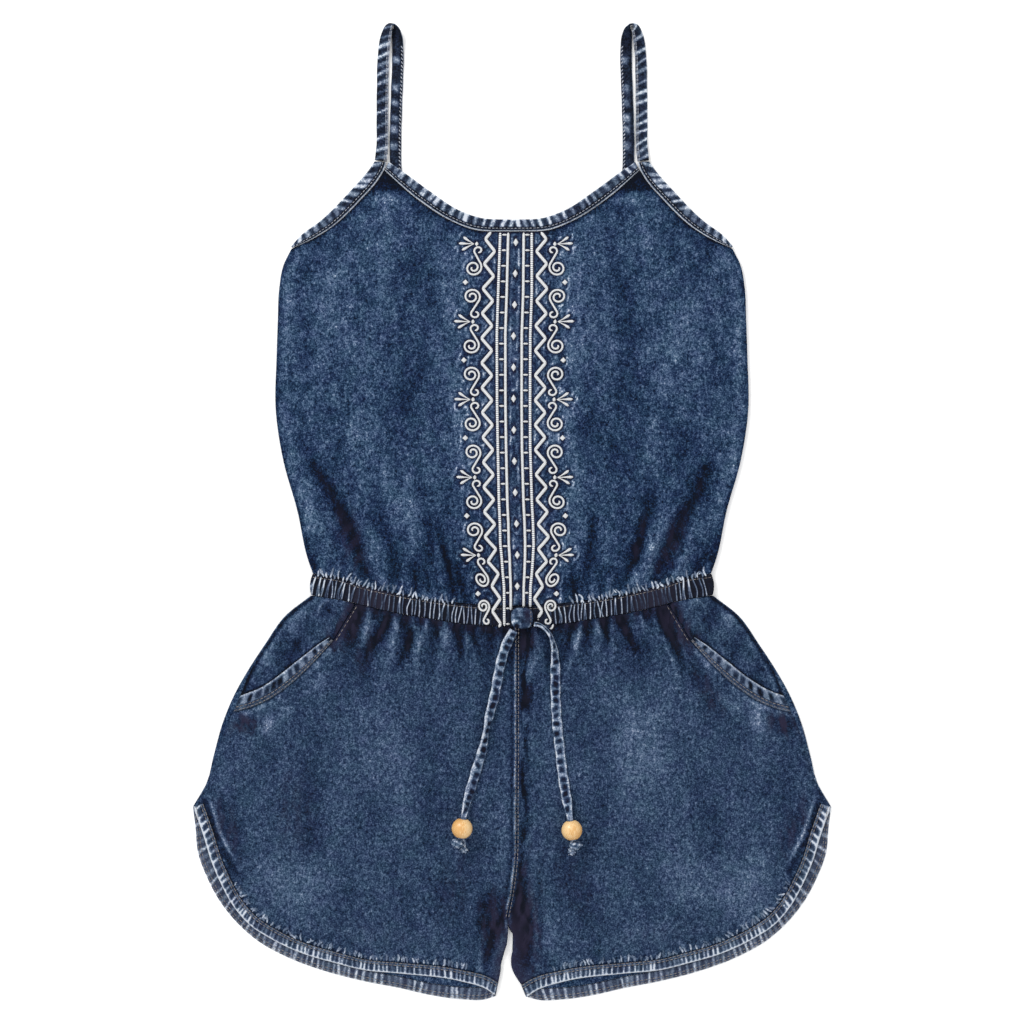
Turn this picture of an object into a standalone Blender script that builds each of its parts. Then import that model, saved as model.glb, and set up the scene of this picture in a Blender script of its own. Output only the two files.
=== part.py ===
# Short jumpsuit in washed denim, laid flat on its back with the front up.
#
# Plan: +X to the picture's right, +Y from the legs to the straps, +Z up off the surface it lies on.
# Every length in the tables is in millimetres and MM turns it into metres. "left" and "right" are
# the sides seen from above. Each cloth piece is a closed wall between an under face and an upper
# face that share one grid of plan points. Seams are lines that both neighbours are cut from.

import math

import bpy
import bmesh
import numpy as np
from mathutils import Matrix, Vector
from mathutils.bvhtree import BVHTree

MM = 0.001

# ---------------------------------------------------------------- cloth
WALL = 1.2            # one layer of denim
GAP = 0.3             # between two pieces that are sewn together or lie on each other
BINDING_WALL = 1.7    # folded edge binding
HEM_WALL = 1.6        # turned hem
CASING_WALL = 1.9     # two layers with the waist elastic between them
FRONT_BASE = WALL + GAP
CASING_BASE = CASING_WALL + GAP
PUFF = 1.5            # air that keeps the front panels up off the back ones
PUFF_REACH = 32.0     # how far in from a free edge the cloth takes to rise
WAIST_REACH = 16.0    # how far from the casing the front is still held at the casing's height

# ---------------------------------------------------------------- waist
PLEATS_EACH_SIDE = 26
PLEAT_HEIGHT = 0.9
STITCH_SHARE = 0.84   # height in the casing of the row of stitches that pinches the pleats
STITCH_PINCH = 0.35
CASING_TOP = [(-139.5, -44.0), (-120.5, -46.9), (-106.5, -51.6), (-87.0, -56.3),
              (-59.0, -61.6), (-26.5, -65.5), (0.0, -66.5)]
CASING_BOTTOM = [(-140.5, -58.8), (-117.5, -62.7), (-99.5, -67.2), (-80.5, -71.4),
                 (-59.0, -74.9), (-38.0, -78.4), (-22.5, -79.8), (0.0, -81.2)]
CASING_END_BULGE = 1.4

# ---------------------------------------------------------------- bodice
BODICE_SIDE = [(-139.5, -43.4), (-142.8, -34.3), (-150.5, 0.7), (-160.3, 35.7), (-165.5, 70.7),
               (-164.9, 108.5), (-164.1, 132.3), (-163.1, 155.4), (-160.3, 171.5), (-154.2, 184.2)]
ARMHOLE_INNER = [(-153.6, 184.5), (-141.5, 189.7), (-127.4, 198.1), (-106.4, 217.7),
                 (-92.4, 234.3), (-89.6, 239.4)]
ARMHOLE_TOP = (-88.3, 244.3)    # where the binding runs on into the strap
ARMHOLE_OUTER = [(-154.8, 185.2), (-148.6, 192.4), (-134.4, 203.0), (-113.4, 224.0),
                 (-99.4, 240.1), (-96.2, 244.9)]
NECK_LOWER = [(-89.0, 238.6), (-78.4, 228.7), (-65.1, 217.7), (-44.1, 204.1), (-27.3, 197.4),
              (0.0, 195.8)]
NECK_UPPER = [(-86.2, 244.6), (-77.0, 238.2), (-58.1, 224.4), (-37.1, 210.7), (-23.1, 205.6),
              (0.0, 204.1)]
BACK_TOP_Y = 180.0    # straight upper edge of the back, hidden by the front

# ---------------------------------------------------------------- straps
STRAP_WIDTH = 8.2
STRAP_LEVEL_AFTER = 26.0   # run in which the strap comes down from the front to the surface
# tilt is the turn of the ribbon about its own run: 0 outer face up, 90 on edge, 180 inner face up
STRAP_TABLE = [
    # x, y, tilt
    (-92.0, 245.3, 0), (-91.0, 255.0, 0), (-90.9, 275.0, 0), (-90.7, 297.0, 0),
    (-90.2, 316.0, 4), (-88.9, 327.5, 14), (-87.0, 336.0, 34), (-83.9, 340.8, 62),
    (-80.9, 339.2, 98), (-79.2, 333.5, 140), (-78.8, 327.0, 166), (-78.9, 316.0, 176),
    (-79.6, 290.0, 180), (-80.6, 260.0, 180), (-81.0, 235.0, 180), (-80.6, 205.0, 180),
    (-80.4, BACK_TOP_Y + 0.45, 180),
]

# ---------------------------------------------------------------- shorts
SHORTS_SIDE = [
    # x and y of the folded side, and how far in from it the front ends and the back shows
    (-141.0, -59.4, 1.0), (-159.6, -74.2, 1.0), (-172.9, -93.1, 1.0), (-184.8, -111.3, 1.9),
    (-195.3, -130.2, 4.5), (-203.0, -149.1, 3.8), (-209.3, -172.2, 2.0), (-214.2, -191.1, 1.2),
    (-219.8, -200.9, 1.0), (-223.4, -206.7, 1.0),
]
POCKET_SEAM = [(-109.9, -65.6), (-118.4, -79.8), (-125.0, -90.5)]
POCKET_LOWER = [(-125.0, -90.5), (-141.1, -108.5), (-158.2, -123.9), (-172.9, -133.6),
                (-184.8, -138.4), (-195.4, -141.0)]
POCKET_UPPER = [(-127.9, -88.4), (-136.5, -94.0), (-150.5, -105.0), (-165.2, -116.6),
                (-177.5, -124.4), (-190.4, -129.5)]
HEM_WIDTH = 7.6
HEM_BLEND = 14        # how suddenly a hem turns to its own end at the inner leg
FRONT_HEM = [(-223.3, -207.4), (-216.3, -227.5), (-210.7, -245.7), (-204.4, -260.4),
             (-194.6, -277.9), (-184.1, -289.8), (-168.0, -300.3), (-146.7, -310.1),
             (-125.3, -316.4), (-103.6, -321.7), (-78.4, -324.1), (-35.7, -329.7),
             (-18.2, -335.3), (-12.6, -339.3)]
BACK_HEM = [(-223.9, -207.3), (-222.3, -219.1), (-219.8, -241.5), (-214.2, -256.2), (-205.8, -272.3),
            (-191.8, -289.8), (-178.9, -301.0), (-157.5, -312.9), (-130.9, -322.7),
            (-103.6, -329.7), (-78.4, -334.6), (-56.7, -339.5), (-35.7, -342.3), (-19.6, -342.3),
            (-12.2, -339.9)]
CENTRE_SEAM = [(3.5, -81.2), (3.5, -132.3), (3.2, -202.3), (2.1, -251.3), (-0.7, -270.9),
               (-3.4, -284.9), (-2.5, -292.6)]
INNER_LEG = {
    "left": [(-2.5, -292.6), (-3.5, -303.8), (-7.5, -314.3), (-7.7, -321.3), (-9.6, -330.6)],
    "right": [(-2.5, -292.6), (1.4, -298.0), (0.7, -305.9), (-0.9, -313.5), (-0.4, -320.0),
              (2.4, -326.0), (6.5, -332.0)],
}
# where the inner leg meets the edge of the front hem and of the back hem
INNER_HEM_END = {
    "left": {"front": (-12.4, -339.0), "back": (-11.6, -340.2)},
    "right": {"front": (10.0, -340.9), "back": (10.6, -340.7)},
}

# ---------------------------------------------------------------- large folds of the front
# a soft ridge from (x0, y0) to (x1, y1); it is as high as given at its start and dies at its end
FOLD_TABLE = [
    # x0, y0, x1, y1, width, height
    (-128.0, -44.0, -142.0, 30.0, 7.0, 1.0), (-108.0, -48.0, -122.0, 62.0, 8.0, 1.1),
    (-88.0, -53.0, -96.0, 96.0, 8.0, 1.0), (-66.0, -58.0, -70.0, 74.0, 7.0, 1.0),
    (-46.0, -61.0, -50.0, 118.0, 8.0, 0.9), (48.0, -61.0, 52.0, 104.0, 8.0, 0.9),
    (68.0, -58.0, 76.0, 86.0, 7.0, 1.1), (90.0, -53.0, 100.0, 110.0, 8.0, 1.0),
    (110.0, -48.0, 124.0, 60.0, 8.0, 1.0), (128.0, -44.0, 143.0, 26.0, 7.0, 1.0),
    (-96.0, -70.0, -128.0, -190.0, 8.0, 1.1), (-74.0, -74.0, -92.0, -214.0, 8.0, 1.0),
    (-52.0, -78.0, -60.0, -186.0, 7.0, 1.0), (-30.0, -80.0, -32.0, -222.0, 7.0, 0.8),
    (26.0, -80.0, 28.0, -176.0, 6.0, 0.8), (50.0, -78.0, 58.0, -208.0, 7.0, 1.0),
    (74.0, -74.0, 90.0, -186.0, 8.0, 1.0), (96.0, -70.0, 130.0, -204.0, 8.0, 1.1),
    (-20.0, -330.0, -46.0, -262.0, 9.0, 1.0), (18.0, -318.0, 4.0, -252.0, 6.0, 1.3),
    (24.0, -330.0, 52.0, -270.0, 9.0, 1.0),
]

# ---------------------------------------------------------------- ties, beads and knots
TIE_WALL = 1.1
TIE_CLEARANCE = 0.45       # of a tie above the cloth that it lies on
BEAD_RADIUS = 7.25
BORE_RADIUS = 2.7
BEAD_STEPS = 20
BEAD_PROFILE_STEPS = 9
BORE_TIE = (3.6, 2.0)      # width and thickness of the tie where it is drawn through the bead
TIE_KNOT = {"centre": (7.0, -74.8), "size": (15.4, 14.6, 4.6), "lift": 5.4}
TIES = {
    "left": {
        "path": [
            # x, y, tilt, width
            (1.2, -83.6, 12, 6.2), (-1.6, -88.5, 6, 6.8), (-4.9, -96.0, 0, 6.8),
            (-8.2, -107.8, 0, 6.8), (-11.4, -125.3, 4, 6.8), (-15.6, -142.0, 24, 6.6),
            (-18.2, -154.0, 58, 6.2), (-21.0, -168.0, 22, 6.6), (-25.4, -182.7, 4, 6.8),
            (-30.2, -198.8, 14, 6.6), (-32.6, -208.0, 42, 5.4),
        ],
        "bead": (-34.8, -221.2), "heading": -98.0,
        "tail": 3.4,
    },
    "right": {
        "path": [
            (15.4, -79.0, 66, 5.2), (20.6, -80.2, 74, 5.6), (25.4, -84.8, 76, 6.0),
            (28.6, -92.6, 64, 6.4), (30.0, -103.0, 34, 6.8), (30.3, -113.0, 6, 6.8),
            (30.5, -130.2, 0, 6.8), (31.6, -149.1, 2, 6.8), (33.6, -168.0, 0, 6.8),
            (35.8, -186.6, 0, 6.8), (38.0, -200.0, 0, 6.8), (39.4, -208.4, 0, 5.4),
        ],
        "bead": (41.7, -222.4), "heading": -82.0,
        "tail": -2.0,
    },
}

# ---------------------------------------------------------------- how finely the walls are divided
BODICE_COLUMNS = {"armhole": 8, "neck": 11}     # of one half
BODICE_ROWS = 12
BACK_BODICE_GRID = (24, 7)
HEM_COLUMNS = {"front": 28, "back": 25}
SHORTS_ROWS = {"seam": 3, "pocket": 8, "side": 4}
BACK_SHORTS_ROWS = 7
POCKET_ROWS = 6
STRAP_STATIONS = 46
TIE_STATIONS = 40


# ================================================================ lines in plan

def smooth_line(points, count):
    """count + 1 points, evenly spaced, on a smooth curve through the points of a short table."""
    given = np.array(points, float)
    step = np.linalg.norm(np.diff(given, axis=0), axis=1)
    at = np.concatenate([[0.0], np.cumsum(step)])
    slope = np.gradient(given, at, axis=0)
    fine = []
    for i in range(len(given) - 1):
        t = np.linspace(0.0, 1.0, 17)[:, None]
        h = at[i + 1] - at[i]
        fine.append(((2 * t**3 - 3 * t**2 + 1) * given[i] + (t**3 - 2 * t**2 + t) * h * slope[i]
                     + (3 * t**2 - 2 * t**3) * given[i + 1] + (t**3 - t**2) * h * slope[i + 1])[:-1])
    fine = np.concatenate(fine + [given[-1:]])
    return resample(fine, count)


def resample(line, count):
    run = np.concatenate([[0.0], np.cumsum(np.linalg.norm(np.diff(line, axis=0), axis=1))])
    wanted = np.linspace(0.0, run[-1], count + 1)
    return np.stack([np.interp(wanted, run, line[:, k]) for k in range(line.shape[1])], 1)


def normals(line):
    """Directions in plan to the left of a line."""
    way = np.gradient(line, axis=0)
    way /= np.linalg.norm(way, axis=1)[:, None]
    return np.stack([-way[:, 1], way[:, 0]], 1)


def moved_over(line, distance):
    """The line moved to the left of its own direction."""
    return line + distance * normals(line)


def mirrored(line):
    return np.array(line, float) * (-1.0, 1.0)


def both_halves(points, count):
    """A line given from the left end to the middle, carried on to its mirror image."""
    half = smooth_line(points, count)
    return np.concatenate([half, mirrored(half)[-2::-1]])


def patch(bottom, top, start, end):
    """Grid of plan points filling the four lines; start and end run from bottom to top."""
    u = np.linspace(0.0, 1.0, len(bottom))[None, :, None]
    v = np.linspace(0.0, 1.0, len(start))[:, None, None]
    ruled = (1 - v) * bottom[None] + v * top[None]
    swept = (1 - u) * start[:, None] + u * end[:, None]
    corners = ((1 - u) * (1 - v) * bottom[0] + u * (1 - v) * bottom[-1]
               + (1 - u) * v * top[0] + u * v * top[-1])
    return ruled + swept - corners


def band(inner, outer, rows):
    """Grid between two lines that run side by side."""
    v = np.linspace(0.0, 1.0, rows + 1)[:, None, None]
    return (1 - v) * inner[None] + v * outer[None]


# ================================================================ heights

def distance_to(line, xy):
    """Distance in plan from each point to a line."""
    a, b = line[:-1], line[1:]
    along = b - a
    offset = xy[..., None, :] - a
    t = np.clip((offset * along).sum(-1) / np.maximum((along**2).sum(-1), 1e-9), 0.0, 1.0)
    return np.linalg.norm(offset - t[..., None] * along, axis=-1).min(-1)


def ease(t):
    t = np.clip(t, 0.0, 1.0)
    return t * t * (3 - 2 * t)


WAIST_TOP = both_halves(CASING_TOP, 40)
WAIST_BOTTOM = both_halves(CASING_BOTTOM, 40)


def free_edges():
    """Every edge of the front at which it lies down on the back: sides, neck, armholes and hems."""
    lines = []
    for mirror in (np.array, mirrored):
        for table in (BODICE_SIDE, ARMHOLE_OUTER, FRONT_HEM, [row[:2] for row in SHORTS_SIDE]):
            lines.append(mirror(smooth_line(table, 24)))
    lines.append(both_halves(NECK_UPPER, 20))
    lines += [smooth_line(line, 12) for line in INNER_LEG.values()]
    return lines


FREE_EDGES = free_edges()


def folds(xy):
    height = np.zeros(xy.shape[:-1])
    for x0, y0, x1, y1, width, peak in FOLD_TABLE:
        start, run = np.array((x0, y0)), np.array((x1 - x0, y1 - y0))
        t = ((xy - start) * run).sum(-1) / (run**2).sum()
        side = np.linalg.norm(xy - start - np.clip(t, 0.0, 1.0)[..., None] * run, axis=-1)
        fade = ease(1.0 - np.clip(t, 0.0, 1.0)) * ease(1.0 + t * 6.0)
        height = np.maximum(height, peak * fade * np.exp(-(side / width)**2))
    return height


def front_under(xy):
    """Height of the under face of the front cloth."""
    edge = np.min([distance_to(line, xy) for line in FREE_EDGES], axis=0)
    waist = np.minimum(distance_to(WAIST_TOP, xy), distance_to(WAIST_BOTTOM, xy))
    held = ease(1.0 - waist / WAIST_REACH)
    puff = PUFF * ease(edge / PUFF_REACH)
    free = FRONT_BASE + puff + folds(xy) * ease(edge / 14.0)
    return free + held * (CASING_BASE + 0.5 * puff + 0.6 * folds(xy) - free)


# ================================================================ solids

def srgb(code):
    value = [int(code[i:i + 2], 16) / 255 for i in (0, 2, 4)]
    return [c / 12.92 if c <= 0.04045 else ((c + 0.055) / 1.055) ** 2.4 for c in value] + [1.0]


def finish(name, code, roughness):
    made = bpy.data.materials.new(name)
    made.use_nodes = True
    shader = made.node_tree.nodes["Principled BSDF"]
    shader.inputs["Base Color"].default_value = srgb(code)
    shader.inputs["Roughness"].default_value = roughness
    shader.inputs["Metallic"].default_value = 0.0
    return made


def stand(name, mesh, material):
    mesh.materials.append(material)
    piece = bpy.data.objects.new(name, mesh)
    JUMPSUIT.objects.link(piece)
    return piece


def close(name, shape, material, sharp=40.0):
    """Turns a finished bmesh into an object, faces out and shaded smooth between its edges."""
    bmesh.ops.recalc_face_normals(shape, faces=shape.faces)
    mesh = bpy.data.meshes.new(name)
    shape.to_mesh(mesh)
    shape.free()
    mesh.shade_smooth()
    mesh.set_sharp_from_angle(angle=math.radians(sharp))
    return stand(name, mesh, material)


def wall(name, under, over, material):
    """A closed wall between two grids of points in millimetres, one point of each over the other."""
    shape = bmesh.new()
    rows, columns = under.shape[:2]
    low, high = ([[shape.verts.new(p * MM) for p in row] for row in side] for side in (under, over))
    for j in range(rows - 1):
        for i in range(columns - 1):
            for side in (low, high):
                shape.faces.new((side[j][i], side[j][i + 1], side[j + 1][i + 1], side[j + 1][i]))
        for i in (0, columns - 1):
            shape.faces.new((low[j][i], low[j + 1][i], high[j + 1][i], high[j][i]))
    for i in range(columns - 1):
        for j in (0, rows - 1):
            shape.faces.new((low[j][i], low[j][i + 1], high[j][i + 1], high[j][i]))
    return close(name, shape, material)


def lofted(name, rings, material):
    """A closed solid through rings with the same number of points, its two ends capped."""
    shape = bmesh.new()
    made = [[shape.verts.new(p * MM) for p in ring] for ring in rings]
    for here, after in zip(made, made[1:]):
        for i in range(len(here)):
            k = (i + 1) % len(here)
            shape.faces.new((here[i], here[k], after[k], after[i]))
    shape.faces.new(made[0])
    shape.faces.new(made[-1])
    return close(name, shape, material, 60.0)


def raised(xy, z):
    return np.concatenate([xy, np.broadcast_to(z, xy.shape[:-1])[..., None]], -1)


def front_piece(name, xy, thickness, material):
    under = front_under(xy)
    return wall(name, raised(xy, under), raised(xy, under + thickness), material)


def back_piece(name, xy, thickness, material):
    return wall(name, raised(xy, 0.0), raised(xy, thickness), material)


# ================================================================ bodice

def make_front_bodice():
    armhole = moved_over(smooth_line(ARMHOLE_INNER, BODICE_COLUMNS["armhole"]), -GAP)
    neck = moved_over(smooth_line(NECK_LOWER, BODICE_COLUMNS["neck"]), -GAP)
    peak = (armhole[-1] + neck[0]) / 2
    half = np.concatenate([armhole[:-1], peak[None], neck[1:]])
    half[-1, 0] = 0.0
    top = np.concatenate([half, mirrored(half)[-2::-1]])
    bottom = moved_over(both_halves(CASING_TOP, len(half) - 1), GAP)
    side = smooth_line(BODICE_SIDE, BODICE_ROWS)
    side[0], side[-1] = bottom[0], top[0]
    front_piece("front_bodice", patch(bottom, top, side, mirrored(side)), WALL, DENIM["bodice"])


def make_back_bodice():
    columns, rows = BACK_BODICE_GRID
    bottom = moved_over(both_halves(CASING_TOP, columns // 2), GAP)
    side = smooth_line(BODICE_SIDE, 60)
    side = resample(side[side[:, 1] < BACK_TOP_Y], rows)
    side[0] = bottom[0]
    side[-1, 1] = BACK_TOP_Y
    top = np.linspace(side[-1], mirrored(side[-1:])[0], columns + 1)
    back_piece("back_bodice", patch(bottom, top, side, mirrored(side)), WALL, DENIM["bodice"])


def make_bindings():
    columns = BODICE_COLUMNS["neck"] * 2
    lower, upper = both_halves(NECK_LOWER, columns), both_halves(NECK_UPPER, columns)
    front_piece("neck_binding", band(lower, upper, 2), BINDING_WALL, DENIM["binding"])
    columns = BODICE_COLUMNS["armhole"] * 2
    inner = smooth_line(ARMHOLE_INNER + [ARMHOLE_TOP], columns)
    outer = smooth_line(ARMHOLE_OUTER, columns)
    for side, turn in SIDES.items():
        front_piece(f"armhole_binding_{side}", band(turn(inner), turn(outer), 2), BINDING_WALL,
                    DENIM["binding"])


def ribbon(name, centre, tilt, width, thickness, material):
    """A flat strip along its centres. At tilt 0 it lies flat, and it turns about its own run."""
    run = np.gradient(centre, axis=0)
    run /= np.linalg.norm(run, axis=1)[:, None]
    level = np.cross(run, (0.0, 0.0, 1.0))
    level /= np.linalg.norm(level, axis=1)[:, None]
    turned = np.radians(tilt)[:, None]
    across = np.cos(turned) * level + np.sin(turned) * np.cross(level, run)
    face = np.cross(across, run)
    half = across * np.reshape(width, (-1, 1)) / 2
    thick = face * np.reshape(thickness, (-1, 1)) / 2
    low = np.stack([centre - half - thick, centre + half - thick], 1)
    high = np.stack([centre - half + thick, centre + half + thick], 1)
    return wall(name, low, high, material)


def make_straps():
    table = smooth_line(STRAP_TABLE, STRAP_STATIONS)
    xy, tilt = table[:, :2], np.clip(table[:, 2], 0.0, 180.0)
    run = np.concatenate([[0.0], np.cumsum(np.linalg.norm(np.diff(xy, axis=0), axis=1))])
    turned = np.radians(tilt)
    lowest = np.abs(np.sin(turned)) * STRAP_WIDTH / 2 + np.abs(np.cos(turned)) * WALL / 2
    off_front = FRONT_BASE * ease(1.0 - run / STRAP_LEVEL_AFTER)
    centre = raised(xy, lowest + off_front)
    for side, way in (("left", 1.0), ("right", -1.0)):
        ribbon(f"strap_{side}", centre * (way, 1.0, 1.0), tilt if way > 0 else 180.0 - tilt,
               STRAP_WIDTH, WALL, DENIM["binding"])


# ================================================================ waist

def make_casings():
    columns = PLEATS_EACH_SIDE * 4
    shares = np.array([0.0, 0.5, STITCH_SHARE, 1.0])
    bottom = both_halves(CASING_BOTTOM, columns // 2)
    top = both_halves(CASING_TOP, columns // 2)
    xy = (1 - shares)[:, None, None] * bottom + shares[:, None, None] * top
    bulge = CASING_END_BULGE * 4 * shares * (1 - shares)
    xy[:, 0, 0] -= bulge
    xy[:, -1, 0] += bulge
    pinch = np.where(shares == STITCH_SHARE, STITCH_PINCH, 1.0)[:, None]
    pleat = PLEAT_HEIGHT * pinch * (np.arange(columns + 1) % 2)[None, :]
    wall("waist_casing_front", raised(xy, CASING_BASE), raised(xy, CASING_BASE + CASING_WALL + pleat),
         DENIM["casing"])
    back = xy[[0, 1, 3]][:, ::4]
    back_piece("waist_casing_back", back, CASING_WALL, DENIM["casing"])


# ================================================================ shorts

def side_line(face, count):
    """The side of the shorts from the casing to the hem, as the front or the back is cut."""
    table = smooth_line(SHORTS_SIDE, count)
    inset = table[:, 2:] if face == "front" else 0.0
    return table[:, :2] + inset * np.array([1.0, 0.0])


def hem_lines(side, face):
    """The edge of a hem and the line on which it is sewn to its panel, from the side to the leg."""
    turn, count = SIDES[side], HEM_COLUMNS[face]
    outer = smooth_line(FRONT_HEM if face == "front" else BACK_HEM, count)
    inner = moved_over(outer, HEM_WIDTH)
    outer, inner = turn(outer), turn(inner)
    near_leg = np.linspace(0.0, 1.0, count + 1)[:, None] ** HEM_BLEND
    outer = outer + near_leg * (np.array(INNER_HEM_END[side][face]) - outer[-1])
    inner = inner + near_leg * (np.array(INNER_LEG[side][-1]) - inner[-1])
    return outer, inner


def pocket_lines():
    """The seam from the casing to the pocket, and the two edges of the band along its mouth."""
    seam = smooth_line(POCKET_SEAM, SHORTS_ROWS["seam"])
    return seam, *(smooth_line(table, SHORTS_ROWS["pocket"]) for table in (POCKET_LOWER, POCKET_UPPER))


def legs_edge(side, rows):
    """The inner edge of one leg and the centre seam above it, kept half a gap off the seam."""
    leg = np.concatenate([smooth_line(INNER_LEG[side], 6)[::-1], smooth_line(CENTRE_SEAM, 12)[-2::-1]])
    return resample(leg, rows) + (-GAP / 2 if side == "left" else GAP / 2, 0.0)


def waist_edge(side, start, end, columns):
    """The casing's lower edge from start, near the side, to end, at the centre seam."""
    line = SIDES[side](moved_over(smooth_line(CASING_BOTTOM, 60), -GAP))
    between = np.abs(line[:, 0]) < abs(start[0]) - 1.0
    between &= np.abs(line[:, 0]) > abs(end[0]) + 1.0
    line = np.concatenate([start[None], line[between], end[None]])
    return resample(line, columns)


def make_shorts(side):
    turn = SIDES[side]
    sign = 1.0 if side == "left" else -1.0

    # front panel, between the casing, the pocket and side, the hem and the centre seam
    edge_of_hem, sewn = hem_lines(side, "front")
    seam, lower, _ = pocket_lines()
    pocket = moved_over(np.concatenate([seam, lower[1:]]), GAP)
    below = side_line("front", 60)
    below = below[below[:, 1] < lower[-1, 1] - 1.0]
    below = resample(np.concatenate([pocket[-1:], below]), SHORTS_ROWS["side"])
    edge = turn(np.concatenate([pocket, below[1:]])[::-1])
    hem = np.concatenate([edge[:1], moved_over(sewn, sign * GAP)])
    inner = legs_edge(side, len(edge) - 1)
    inner[0] = hem[-1]
    waist = waist_edge(side, edge[-1], inner[-1], len(hem) - 1)
    front_piece(f"shorts_front_{side}", patch(hem, waist, edge, inner), WALL, DENIM["shorts"])
    front_piece(f"hem_front_{side}", band(sewn, edge_of_hem, 2), HEM_WALL, DENIM["hem"])

    # back panel, flat on the surface
    edge_of_hem, sewn = hem_lines(side, "back")
    edge = turn(side_line("back", BACK_SHORTS_ROWS)[::-1])
    hem = np.concatenate([edge[:1], moved_over(sewn, sign * GAP)])
    inner = legs_edge(side, BACK_SHORTS_ROWS)
    inner[0] = hem[-1]
    waist = waist_edge(side, edge[-1], inner[-1], len(hem) - 1)
    back_piece(f"shorts_back_{side}", patch(hem, waist, edge, inner), WALL, DENIM["shorts"])
    back_piece(f"hem_back_{side}", band(sewn, edge_of_hem, 1), WALL, DENIM["hem"])


def make_pocket(side):
    """The band along the pocket's mouth and the side piece that shows above it."""
    turn = SIDES[side]
    seam, lower, upper = pocket_lines()
    front_piece(f"pocket_band_{side}", band(turn(lower), turn(upper), 2), HEM_WALL, DENIM["hem"])

    mouth = moved_over(upper, -GAP)
    start_of_band = (upper[0] - lower[0]) / np.linalg.norm(upper[0] - lower[0])
    away = GAP * np.array([start_of_band[1], -start_of_band[0]])
    mouth[0] = upper[0] + GAP * start_of_band + away
    mouth = np.concatenate([[lower[0] + GAP * start_of_band + away], mouth])
    seam = resample(moved_over(seam, -GAP)[::-1], POCKET_ROWS)
    seam[0] = mouth[0]
    outer = side_line("front", 80)
    outer = outer[outer[:, 1] > mouth[-1, 1]][::-1]
    outer = resample(np.concatenate([mouth[-1:], outer]), POCKET_ROWS)
    waist = moved_over(smooth_line(CASING_BOTTOM, 60), -GAP)
    waist = waist[waist[:, 0] < seam[-1, 0]][::-1]
    waist = resample(np.concatenate([seam[-1:], waist[1:-1], outer[-1:]]), len(mouth) - 1)
    xy = patch(mouth, waist, seam, outer)
    front_piece(f"pocket_panel_{side}", turn(xy), WALL, DENIM["shorts"])


# ================================================================ ties

def cloth_surface():
    """The upper faces that a tie can lie on."""
    trees = []
    for piece in JUMPSUIT.objects:
        if piece.name.startswith(("shorts_front", "waist_casing_front")):
            shape = bmesh.new()
            shape.from_mesh(piece.data)
            trees.append(BVHTree.FromBMesh(shape))
            shape.free()
    return trees


def top_at(trees, x, y):
    hits = [tree.ray_cast(Vector((x, y, 50.0)) * MM, Vector((0, 0, -1)))[0] for tree in trees]
    return max((hit.z / MM for hit in hits if hit), default=0.0)


def highest_under(trees, centre, reach):
    """Highest cloth within reach of a point in plan."""
    around = [(reach * share * math.cos(a), reach * share * math.sin(a))
              for share in (0.0, 0.5, 1.0) for a in np.arange(8) * math.pi / 4]
    return max(top_at(trees, centre[0] + dx, centre[1] + dy) for dx, dy in around)


def make_bead(name, centre, heading):
    """A turned wooden bead with a bore, its bore lying along the tie."""
    mouth = math.asin(BORE_RADIUS / BEAD_RADIUS)
    profile = [(BEAD_RADIUS * math.sin(a), BEAD_RADIUS * math.cos(a))
               for a in np.linspace(mouth, math.pi - mouth, BEAD_PROFILE_STEPS)]
    mesh = bpy.data.meshes.new(name)
    count = len(profile)
    mesh.from_pydata([(x * MM, 0.0, z * MM) for x, z in profile],
                     [(i, (i + 1) % count) for i in range(count)], [])
    bead = stand(name, mesh, WOOD)
    turn = bead.modifiers.new("turned", "SCREW")
    turn.steps = turn.render_steps = BEAD_STEPS
    turn.use_merge_vertices = True
    turn.merge_threshold = 0.00001
    bead.matrix_world = (Matrix.Translation(Vector(centre) * MM)
                         @ Matrix.Rotation(math.radians(heading), 4, "Z")
                         @ Matrix.Rotation(math.radians(90.0), 4, "Y"))
    return bead


def make_tie(side, trees):
    plan = TIES[side]
    way = np.array([math.cos(math.radians(plan["heading"])), math.sin(math.radians(plan["heading"]))])
    bead = np.array(plan["bead"])
    bead_z = highest_under(trees, bead, 4.0) + GAP + BEAD_RADIUS
    make_bead(f"bead_{side}", (*bead, bead_z), plan["heading"])

    # along the cloth, then up into the bore and out at its far end
    laid = smooth_line(plan["path"], TIE_STATIONS)
    rows = []
    for x, y, tilt, width in laid:
        spread = width / 2 * math.cos(math.radians(tilt)) + 1.2
        stand_up = math.sin(math.radians(tilt)) * width / 2 + math.cos(math.radians(tilt)) * TIE_WALL / 2
        rows.append((x, y, highest_under(trees, (x, y), spread) + TIE_CLEARANCE + stand_up,
                     tilt, width, TIE_WALL))
    entry, leave = BEAD_RADIUS + 0.8, BEAD_RADIUS + 0.4
    for along in (-entry, -BEAD_RADIUS * 0.5, BEAD_RADIUS * 0.5, leave):
        rows.append((*(bead + way * along), bead_z, 0.0, *BORE_TIE))
    rows = np.array(rows)
    rows[:, 2] = softened(rows[:, 2], 2, keep=5)
    ribbon(f"tie_{side}", rows[:, :3], rows[:, 3], rows[:, 4], rows[:, 5], DENIM["tie"])
    make_knot(side, bead, way, bead_z, trees)


def softened(values, times, keep):
    """Evens out small steps, never below the first values, leaving the last ones as they are."""
    given = values.copy()
    for _ in range(times):
        middle = (values[:-2] + 2 * values[1:-1] + values[2:]) / 4
        values[1:-1] = np.maximum(middle, given[1:-1])
        values[-keep:] = given[-keep:]
    return values


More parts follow.
